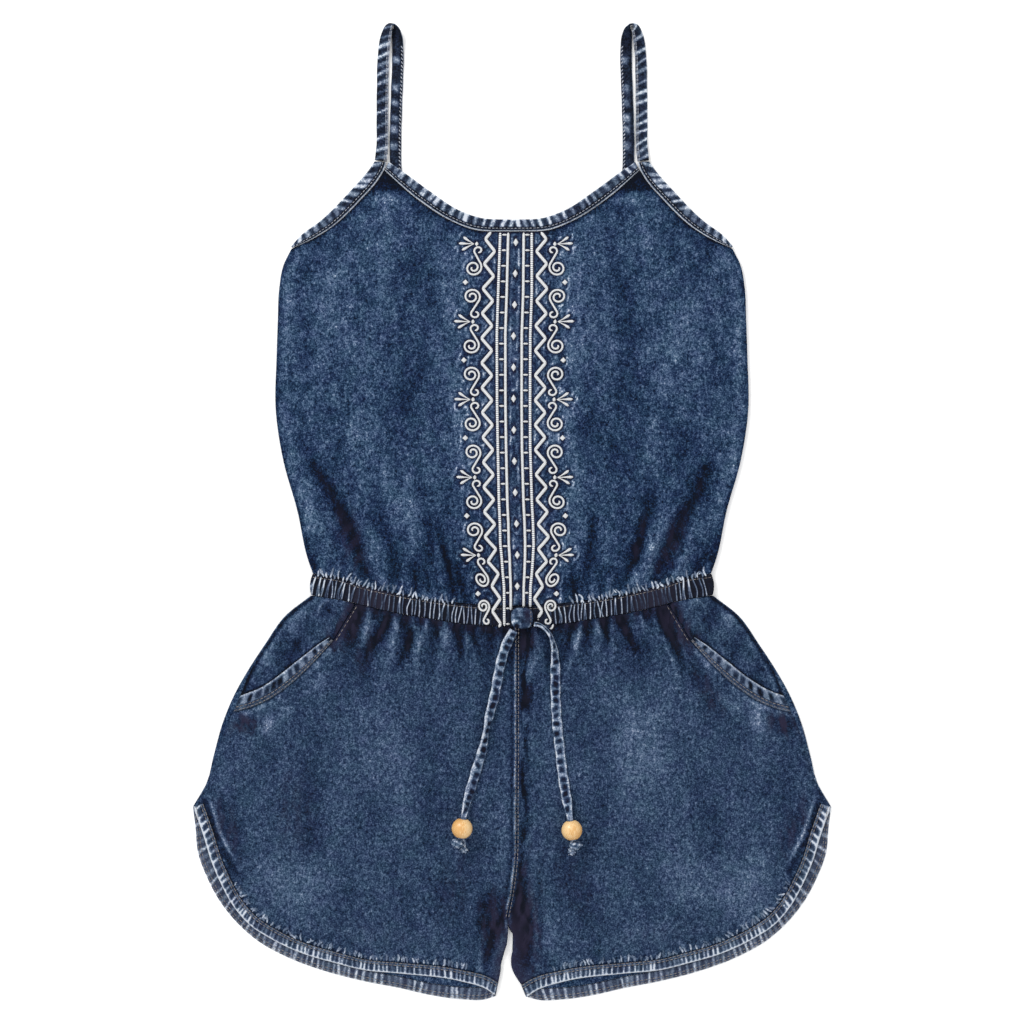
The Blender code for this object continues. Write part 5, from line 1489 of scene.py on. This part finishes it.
def makeHem(side, face):
    spec = hems[face]
    outer, inner = hemLines(side, face, 400)
    length = lineLength(outer)
    t = np.linspace(0.0, 1.0, hems["rows"] + 1)[:, None]
    xy = (1 - t[..., None]) * inner[None] + t[..., None] * outer[None]
    s = np.concatenate([[0.0], np.cumsum(np.linalg.norm(np.diff(outer, axis=0), axis=1))])[None]
    chance = np.random.default_rng(spec["seed"][side])
    total, here = np.zeros((len(t), s.shape[1])), 1.0
    while here < length:
        nearSide = ease(1.0 - here / 110.0)
        size = spec["width"] * chance.uniform(0.7, 1.3) * (1.0 + 0.3 * nearSide)
        lean = chance.normal(0.0, 0.6) + 0.9 + 2.4 * ease(1.0 - here / 170.0)
        total += chance.uniform(0.35, 1.0) * bell(s - here - lean * (t - 0.5), size, spec["power"])
        here += spec["pitch"] * chance.uniform(0.7, 1.3) * (1.0 + 0.9 * nearSide)
    total = np.clip(total, 0.0, 1.2)
    edgeRound = np.sqrt(np.clip(1.0 - (np.abs(t - 0.5) / 0.5)**8, 0.0, 1.0))
    if face == "front":
        base = frontUnder(xy)[0]
        free = ease((t - 0.28) / 0.1) * ease((0.96 - t) / 0.06)
        height = spec["wall"] * (0.4 + 0.6 * edgeRound) - 0.35 * free * (1 - total)
        # Pale puckers, partly wear and partly painted highlight, darker between them; the free edge pale,
        # and a painted dark line at the foot of the fold.
        fade = np.where(t > 0.3, -0.4 + 2.3 * total, -0.2 + 0.9 * total) \
            + (1.9 - total) * bell(t - 0.97, 0.1 + 0.12 * np.exp(-s / 40.0)) - 0.5 * bell(t - 0.33, 0.05)
        brownStainAndShade = 0.0
    else:
        base = 0.0
        height = spec["wall"] * (0.5 + 0.5 * edgeRound) - 0.2 * (1 - total)
        # Pale puckers and edge; brown-violet between the puckers, partly the inside face's own colour and
        # partly painted shade.
        fade = 1.2 * total + 0.8 * bell(t - 0.97, 0.06)
        brownStainAndShade = 0.4 * (1 - np.clip(total, 0.0, 0.9))
    upper = raised(xy, base + np.maximum(height, 0.35))
    made = shell(f"hem_{face}_{side}_cloth", upper, raised(xy, base), finishes["hem"], fade, brownStainAndShade)
    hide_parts(f"hem_{face}_{side}")
    return made


hemMade = {(side, face): makeHem(side, face) for side in sides for face in ("front", "back")}
print("hems")

# pockets

pockets = {
    # the band's puckers are sunk: dark marks on a paler strip
    "band": {"pitch": 7.0, "width": 1.75, "lean": 0.3, "seed": 81, "tones": (-1.25, 0.55),
             "sunk": True, "sewn": -0.15, "rawEdge": 0.5},
    "wall": 1.6, "bandRows": 12, "rows": 56, "columns": 84,
    "bandSlot": "hem_denim", "panelSlot": "washed_denim",
    "gathers": {"pitch": 6.0, "width": 1.7, "height": 0.6, "reach": 9.0, "lean": 0.1, "seed": 35},
    "seedShift": {"left": {"band": 0, "slow": 31, "gathers": 0},
                  "right": {"band": 3, "slow": 33, "gathers": 1}},
    "tones": (2.4, 1.6),
    "curls": [
        # points, half width, height
        ([(-122.5, -64.0), (-129.0, -62.5), (-134.4, -66.5), (-135.5, -72.0), (-131.6, -76.5)], 1.3, 1.0),
        ([(-127.5, -68.5), (-129.0, -71.5)], 2.6, -0.9),
        ([(-141.5, -66.0), (-150.0, -76.0), (-158.5, -90.0)], 3.0, 0.6),
        ([(-145.0, -88.0), (-153.0, -98.0)], 3.0, -0.6)],
}


def makePocket(side):
    turn, g = sides[side], cloth["gap"]
    lower, upper = smoothLine(cut["pocketLower"], 60), smoothLine(cut["pocketUpper"], 60)
    shift = pockets["seedShift"][side]
    band = makeBinding(f"pocket_band_{side}", turn(lower), turn(upper),
                       seeded(pockets["band"], shift["band"]), finishes["hem"], pockets["wall"],
                       pockets["bandRows"], pockets["bandSlot"])
    mouth = movedOver(upper, -g)
    way = (upper[0] - lower[0]) / np.linalg.norm(upper[0] - lower[0])
    away = g * np.array([way[1], -way[0]])
    mouth[0] = upper[0] + g * way + away
    mouth = np.concatenate([[lower[0] + g * way + away], mouth])
    seam = resample(movedOver(smoothLine(cut["pocketSeam"], 20), -g)[::-1], pockets["rows"])
    seam[0] = mouth[0]
    outer = sideLine("front", 120)
    outer = outer[outer[:, 1] > mouth[-1, 1]][::-1]
    outer = resample(np.concatenate([mouth[-1:], outer]), pockets["rows"])
    waist = movedOver(smoothLine(cut["casingBottom"], 60), -g)
    waist = waist[waist[:, 0] < seam[-1, 0]][::-1]
    mouth = resample(mouth, pockets["columns"])
    waist = resample(np.concatenate([seam[-1:], waist[1:-1], outer[-1:]]), pockets["columns"])
    xy = turn(patch(mouth, waist, seam, outer))
    under, edge = frontUnder(xy)
    slow = swells(xy, shift["slow"], 0.35, 9.0, 34.0)
    small = gathers(waistBottom, xy, seeded(pockets["gathers"], shift["gathers"]))
    big = slow + small + creases(turn(xy), pockets["curls"])
    # Folds drawn paler on ridges and darker in troughs: partly wear, partly painted light and shade.
    fade, brownStainAndShade = toneOf(big * ease(edge / 3.0), *pockets["tones"])
    fade = fade - 0.1
    mouthAway = alongAndAway(turn(upper), xy)[1]
    seamAway = alongAndAway(turn(smoothLine(cut["pocketSeam"], 20)), xy)[1]
    sideAway = alongAndAway(turn(sideLine("front", 60)), xy)[1]
    # Painted shadow under the band along the mouth, darker by the seam, and painted shade where the cloth
    # turns down at the side with a paler band inside it.
    fade = fade - 1.1 * bell(mouthAway, 1.2) - 0.9 * bell(seamAway, 4.0) \
        - 0.8 * bell(sideAway - 1.0, 1.2) + 0.25 * bell(sideAway - 4.0, 2.0)
    brownStainAndShade = np.maximum(brownStainAndShade, 0.6 * mottled(xy, 95) * bell(seamAway, 6.5))
    relief = big * ease(edge / 5.0)
    face = raised(xy, np.maximum(under + cloth["wall"] + relief, under + cloth["thinnest"]))
    panel = shell(f"pocket_panel_{side}_cloth", face, raised(xy, under), finishes["shorts"], fade,
                  brownStainAndShade)
    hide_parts(f"pocket_panel_{side}")
    return panel, band


pocketMade = {side: makePocket(side) for side in sides}
print("pockets")

# the back, which lies on the surface

backs = {
    "spacing": 3.2, "thinnest": 0.7, "tones": (1.5, 1.7), "slot": "washed_denim",
    "gathers": {"pitch": 9.0, "width": 2.6, "height": 0.35, "reach": 18.0, "lean": 0.1, "seed": 41},
}


# Steps of about the spacing over a length, a multiple of 4 of them.
def steps(length, of=4):
    return int(length / backs["spacing"] / of) * of


def bodiceBackGrid():
    bottom = movedOver(bothHalves(cut["casingTop"], steps(165.0, 2)), cloth["gap"])
    side = smoothLine(cut["bodiceSide"], 90)
    side = resample(side[side[:, 1] < cloth["backTop"]], steps(224.0))
    side[0], side[-1, 1] = bottom[0], cloth["backTop"]
    top = np.linspace(side[-1], mirrored(side[-1:])[0], len(bottom))
    return patch(bottom, top, side, mirrored(side))


def shortsBackGrid(side):
    sewn = hemLines(side, "back", steps(250.0) - 1)[1]
    edge = sides[side](sideLine("back", steps(262.0))[::-1])
    hem = np.concatenate([edge[:1], movedOver(sewn, inward[side] * cloth["gap"])])
    inner = legsEdge(side, steps(262.0))
    inner[0] = hem[-1]
    return patch(hem, waistEdge(side, edge[-1], inner[-1], len(hem) - 1), edge, inner)


def makeBack(node, xy, line):
    small = gathers(line, xy, seeded(backs["gathers"], len(node)))
    slow = swells(xy, 43 + len(node), 0.2, 20.0, 60.0)
    relief = np.minimum(small + slow, 0.0)
    # The gathers and swells drawn paler on ridges and darker in troughs: partly wear, partly painted light
    # and shade.
    fade, brownStainAndShade = toneOf(small * 2.0 + slow, *backs["tones"])
    made = shell(f"{node}_cloth", raised(xy, np.maximum(cloth["wall"] + relief, backs["thinnest"])),
                 raised(xy, 0.0), finishes["back"], fade, brownStainAndShade)
    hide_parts(node)
    return made


bodiceBack = makeBack("back_bodice", bodiceBackGrid(), waistTop)
shortsBacks = {side: makeBack(f"shorts_back_{side}", shortsBackGrid(side), waistBottom)
               for side in sides}
print("backs")

# the soft half knot at the waist

waistKnot = {
    "centre": (7.0, -74.8), "size": (15.4, 14.6, 4.6), "lift": 5.4, "slot": "tie_denim",
    "seam": [(13.0, -69.5), (13.3, -75.0), (12.8, -80.0)],
    # x, y, half width, half height, turn, paler, browner
    "tonePatches": [(4.4, -71.0, 3.4, 3.6, 0.0, 0.5, 0.0), (2.1, -76.9, 4.2, 0.8, 8.0, 1.1, 0.0),
               (0.8, -79.5, 0.8, 3.0, 0.0, 0.9, 0.0), (3.6, -80.2, 1.7, 1.6, 0.0, -1.3, 0.2),
               (10.9, -73.5, 3.2, 7.0, 0.0, -0.45, 0.55), (6.5, -75.0, 2.0, 5.0, 20.0, -0.4, 0.2)],
}


def makeWaistKnot():
    (cx, cy), (wide, tall, high) = waistKnot["centre"], waistKnot["size"]
    rings, marks = [], []
    angle = np.linspace(0.0, 2 * math.pi, 41)[:-1]
    for t in np.linspace(-1.0, 1.0, 41):
        swell = max(1.0 - abs(t)**3.2, 0.0)**0.5 * 0.82 + 0.18
        y = tall / 2 * swell * np.sign(np.cos(angle)) * np.abs(np.cos(angle))**0.7
        z = high / 2 * swell * np.sign(np.sin(angle)) * np.abs(np.sin(angle))**0.8
        folds = (0.55 * np.sin(y * 1.15 + 1.7 * math.sin(t * 2.1) + 0.6)
                 + 0.4 * np.sin(t * 7.5 + y * 0.5)) * (np.sin(angle) > 0) * swell
        rings.append(np.stack([np.full(40, cx + t * wide / 2), cy + y,
                               waistKnot["lift"] + high / 2 + z + 0.75 * folds], 1))
        # The folds on the top drawn paler on their ridges and darker in their troughs: painted light and
        # shade.
        marks.append(folds * 0.5 - 0.35)
    rings, marks = np.array(rings), np.array(marks)
    spots, brown = tonePatches(rings[..., :2], waistKnot["tonePatches"])
    marks = marks + 0.3 + spots + 0.25 * swells(rings[..., :2], 18, 1.0, 3.0, 7.0)
    made = buildMesh("waist_knot_cloth", rings.reshape(-1, 3), tubeFaces(*rings.shape[:2]),
                     finishes["tie"], {"fade": marks.ravel(), "brownStainAndShade": brown.ravel()})
    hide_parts("tie_knot")
    return made


waistKnotMade = makeWaistKnot()

# machine stitching

stitches = {
    # pitch, length and radius of each kind
    "hem": (3.0, 2.3, 0.23), "binding": (2.6, 1.8, 0.22), "pocketSeam": (3.4, 2.5, 0.23),
    "centreSeam": (2.9, 2.1, 0.23), "casing": (2.6, 2.0, 0.23), "waistKnot": (2.2, 1.6, 0.23),
    "strapOutside": (2.5, 2.2, 0.23), "strapInside": (2.6, 2.1, 0.36),
    "sink": 0.05, "insideSlant": 0.6,
}


# Height of the topmost of some pieces at a place.
def surfaceHeight(pieces, x, y):
    best = 0.0
    for piece in pieces:
        hit, place, _, _ = piece.ray_cast(Vector((x * mm, y * mm, 0.1)), Vector((0.0, 0.0, -1.0)))
        if hit:
            best = max(best, place.z / mm)
    return best


def stitchTemplate():
    rings = [(-0.5, 0.3), (-0.38, 0.9), (0.0, 1.0), (0.38, 0.9), (0.5, 0.3)]
    angle = np.arange(6) * math.pi / 3
    points = np.array([[(x, r * math.cos(a), r * math.sin(a)) for a in angle] for x, r in rings])
    return points.reshape(-1, 3), tubeFaces(len(rings), len(angle))


def stitchRow(kind, line, pieces, slant=0.0):
    pitch, length, radius = stitches[kind]
    base, quads = stitchTemplate()
    count = max(int(lineLength(line) / pitch), 1)
    line = resample(line, count * 2)
    parts = []
    for k in range(1, 2 * count, 2):
        middle, way = line[k], line[k + 1] - line[k - 1]
        way = way / np.linalg.norm(way)
        way = way * math.cos(slant) + np.array([-way[1], way[0]]) * math.sin(slant)
        ends = [middle - way * length / 2, middle + way * length / 2]
        z = [surfaceHeight(pieces, *p) for p in ends]
        rise = (z[1] - z[0]) / length
        forward = np.array([way[0], way[1], rise])
        level = np.array([-way[1], way[0], 0.0])
        up = np.array([0.0, 0.0, 1.0])
        place = np.array([*middle, (z[0] + z[1]) / 2 + radius * 0.55 - stitches["sink"]])
        points = (place + base[:, :1] * length * forward + base[:, 1:2] * radius * level
                  + base[:, 2:] * radius * 0.85 * up)
        parts.append((points, quads))
    return parts


def sewn(name, rows, finish):
    points, faces = joined([part for row in rows for part in row])
    return buildMesh(name, points, faces, finish)


def between(inner, outer, share, count=200):
    inner, outer = resample(inner, count), resample(outer, count)
    return (1 - share) * inner + share * outer


rows = [stitchRow("binding", between(*neckLines(), 0.25), [neckBinding])]
for side, turn in sides.items():
    rows.append(stitchRow("binding", between(*armholeLines(turn), 0.25), [armholeBindings[side]]))
sewn("binding_stitches", rows, paleThread)

rows = []
for side, turn in sides.items():
    outer, inner = hemLines(side, "front", 200)
    for share in (0.06, 0.26):
        rows.append(stitchRow("hem", between(inner, outer, share), [hemMade[side, "front"]]))
    outer, inner = hemLines(side, "back", 200)
    for share in (0.62, 0.84):
        rows.append(stitchRow("hem", between(inner, outer, share),
                              [hemMade[side, "back"], hemMade[side, "front"]]))
    lower, upper = turn(smoothLine(cut["pocketLower"], 60)), turn(smoothLine(cut["pocketUpper"], 60))
    for share in (0.1, 0.3):
        rows.append(stitchRow("hem", between(lower, upper, share), [pocketMade[side][1]]))
    seam = movedOver(smoothLine(cut["pocketSeam"], 30), 1.6)
    rows.append(stitchRow("pocketSeam", turn(seam), [shortsMade[side]]))
for shift in (-0.9, 1.1):
    seam = smoothLine(cut["centreSeam"][:-1], 60) + (shift, 0.0)
    rows.append(stitchRow("centreSeam", seam, list(shortsMade.values())))
casingLines = bothHalves(cut["casingBottom"], 120), bothHalves(cut["casingTop"], 120)
rows.append(stitchRow("casing", between(*casingLines, casing["stitchShare"], 300), [casingFront]))
rows.append(stitchRow("waistKnot", smoothLine(waistKnot["seam"], 20), [waistKnotMade]))
sewn("seam_stitches", rows, seamThread)

rows = []
for side in sides:
    piece, centre, across, run = straps[side]
    for shift in (2.5, 3.5):
        line = (centre + across * shift)[run < 98.0][:, :2]
        rows.append(stitchRow("strapOutside", line, [piece]))
    line = (centre + across * 3.0)[run > 112.0][:, :2]
    rows.append(stitchRow("strapInside", line[line[:, 1] > 238.0], [piece],
                          inward[side] * stitches["insideSlant"]))
sewn("strap_stitches", rows, paleThread)
print("stitching")

# embroidery: each stroke is a raised, rounded ribbon on the cloth, of one width or several in turn


def satinStroke(line, width, pieces, thick):
    count = max(int(lineLength(line) / 0.85), 3)
    line = resample(np.array(line), count)
    width = np.atleast_1d(width)
    width = np.interp(np.linspace(0, 1, count + 1), np.linspace(0, 1, len(width)), width)
    run = np.linspace(0.0, lineLength(line), count + 1)
    tip = np.minimum(run, run[-1] - run)
    taper = np.sqrt(np.clip(tip / (width / 2 + 0.2), 0.0, 1.0)) * 0.75 + 0.25
    z = np.max([[surfaceHeight(pieces, *p) for p in line + leftOf(line) * (share * width / 2)[:, None]]
                for share in (-0.7, 0.0, 0.7)], axis=0)
    z = np.interp(run, run[z > 0.0], z[z > 0.0])
    z = np.maximum(z, np.maximum(np.append(z[1:], z[-1]), np.append(z[0], z[:-1])) - 0.15)
    for _ in range(2):
        z[1:-1] = (z[:-2] + 2 * z[1:-1] + z[2:]) / 4
    c = np.linspace(-1.0, 1.0, 7)
    side = leftOf(line)
    xy = line[:, None] + side[:, None] * (c[None, :, None] * (width * taper / 2)[:, None, None])
    bulge = thick * np.sqrt(np.clip(1 - c**2, 0, 1))[None] * taper[:, None]
    upper = raised(xy, z[:, None] + 0.05 + bulge)
    upper[:, ::6, 2] = z[:, None] - 0.3
    laid = np.stack([np.broadcast_to(run[:, None], upper.shape[:2]),
                     c[None] * width[:, None] / 2], -1).reshape(-1, 2)
    index = np.arange((count + 1) * 7).reshape(-1, 7)
    faces = np.concatenate([
        np.stack([index[:-1, :-1], index[1:, :-1], index[1:, 1:], index[:-1, 1:]], -1).reshape(-1, 4),
        [[index[row, 0], index[row, 2], index[row, 4], index[row, 6]][::flip]
         for row, flip in ((0, 1), (count, -1))],
        np.stack([index[:-1, 6], index[1:, 6], index[1:, 0], index[:-1, 0]], -1)])
    if np.cross(upper[1, 3] - upper[0, 3], upper[0, 4] - upper[0, 3])[2] < 0:
        faces = faces[:, ::-1]
    return (upper.reshape(-1, 3), faces), laid


def makeEmbroidery():
    pieces = [bodice, casingFront]
    for name, corded, finish in (("folk_border_embroidery", False, satin), ("corded_rails", True, cord)):
        strokes = [satinStroke(line, width, pieces, border["thick"])
                   for kind, line, width in strokesInPlan if kind == corded]
        points, faces = joined([stroke[0] for stroke in strokes])
        buildMesh(name, points, faces, finish, laid=np.concatenate([stroke[1] for stroke in strokes]))


makeEmbroidery()
print("embroidery")

# small curls of cloth that stand up along the gathered seams, pale on top, partly worn and partly painted
# highlight, with painted shade down their sides

curls = {
    "thick": 0.45, "slot": "gathered_denim",
    "waistFree": (4.0, 42.0), "hemFree": (62.0, 22.0),    # lengths of seam without curls
    "waist_curls_up": {"pitch": 2.7, "reach": (3.6, 8.8), "width": (1.5, 2.5), "pale": (0.6, 1.4),
                       "lean": 0.2, "forked": 0.1, "hooked": 0.35, "seed": 101},
    "hem_curls": {"pitch": 2.9, "reach": (3.0, 6.6), "width": (1.8, 2.8), "pale": (0.3, 1.0),
                  "lean": 0.4, "forked": 0.25, "hooked": 0.25, "seed": 103},
}


def makeCurls(name, seams, pieces, finish):
    spec, strokes, tones = curls[name], [], []
    chance = np.random.default_rng(spec["seed"])
    for line, sign, (first, last) in seams:
        count = int(lineLength(line) / 0.5)
        line = resample(line, count)
        way = leftOf(line) * sign
        here = first
        while here < last:
            k = min(int(here / lineLength(line) * count), count)
            heading = math.atan2(way[k, 1], way[k, 0]) + chance.normal(0.0, spec["lean"])
            reach, width = chance.uniform(*spec["reach"]), chance.uniform(*spec["width"])
            pale = chance.uniform(*spec["pale"])
            arms = [(line[k], heading, reach)]
            if chance.random() < spec["forked"]:
                middle = line[k] + 0.45 * reach * np.array([math.cos(heading), math.sin(heading)])
                arms.append((middle, heading + chance.choice((-0.7, 0.7)), reach * 0.55))
            for start, heading, size in arms:
                t = np.linspace(0.0, 1.0, 8)
                bend = heading + chance.normal(0.0, 0.4) * np.sin(t * 5.5 + chance.uniform(0.0, 6.3)) \
                    + chance.normal(0.0, spec["hooked"]) * t**2
                path = start + np.cumsum(np.stack([np.cos(bend), np.sin(bend)], 1), 0) * size / 8
                stroke, laid = satinStroke(path, width * np.array([0.9, 1.0, 0.85, 0.5]), pieces,
                                           curls["thick"])
                along, side = laid[:, 0] / size, np.abs(laid[:, 1]) / (width / 2)
                strokes.append(stroke)
                # Pale along the top, fading along the curl, and painted shade down both sides.
                tones.append(pale * (1.25 - 0.5 * along) - (0.9 + pale) * np.clip(side, 0, 1)**3)
            here += spec["pitch"] * chance.uniform(0.6, 1.4)
    points, faces = joined(strokes)
    fade = np.concatenate(tones)
    return buildMesh(name, points, faces, finish, {"fade": fade, "brownStainAndShade": np.zeros(len(fade))})


stitched = between(*casingLines, casing["curlShare"], 240)
atSide, atMiddle = curls["waistFree"]
reached = (atSide, lineLength(stitched) / 2 - atMiddle)
makeCurls("waist_curls_up", [(stitched, 1.0, reached), (stitched[::-1], -1.0, reached)],
          [bodice, casingFront], finishes["casing"])
hemSeams = []
atSide, atLeg = curls["hemFree"]
for side in sides:
    line = hemLines(side, "front", 300)[1]
    hemSeams.append((line, inward[side], (atSide, lineLength(line) - atLeg)))
makeCurls("hem_curls", hemSeams, list(shortsMade.values()), finishes["hem"])
print("curls along the seams")

# floor and light

# Matt white paper, under all of it by a hair: it takes a soft shadow and no gloss.
paperFloor = {"half": 3.0, "z": -0.0003, "shader": {"Base Color": linear("ffffff"), "Roughness": 0.95}}
half, z = paperFloor["half"], paperFloor["z"]
mesh = bpy.data.meshes.new("floor")
mesh.from_pydata([(-half, -half, z), (half, -half, z), (half, half, z), (-half, half, z)], [],
                 [(0, 1, 2, 3)])
floor = bpy.data.objects.new("floor", mesh)
bpy.context.scene.collection.objects.link(floor)
paper, _, shader = startFinish("matt_white_paper")
setInputs(shader, paperFloor["shader"])
mesh.materials.append(paper)

studio = {
    "sky": 1.0,
    "lamps": [
        # name, place, size, watts
        ("window", (-1.3, 1.5, 1.5), 1.3, 40.0),
        ("fill", (1.6, -0.9, 1.8), 2.2, 8.0),
    ],
}
world = bpy.data.worlds.new("studio")
world.use_nodes = True
world.node_tree.nodes["Background"].inputs["Color"].default_value = (1.0, 1.0, 1.0, 1.0)
world.node_tree.nodes["Background"].inputs["Strength"].default_value = studio["sky"]
bpy.context.scene.world = world
for name, place, size, watts in studio["lamps"]:
    light = bpy.data.lights.new(name, "AREA")
    light.shape = "DISK"
    light.size = size
    light.energy = watts
    lamp = bpy.data.objects.new(name, light)
    lamp.location = place
    lamp.rotation_euler = (-Vector(place)).to_track_quat("-Z", "Y").to_euler()
    bpy.context.scene.collection.objects.link(lamp)
bpy.context.scene.view_settings.view_transform = "Standard"
print("floor and light")
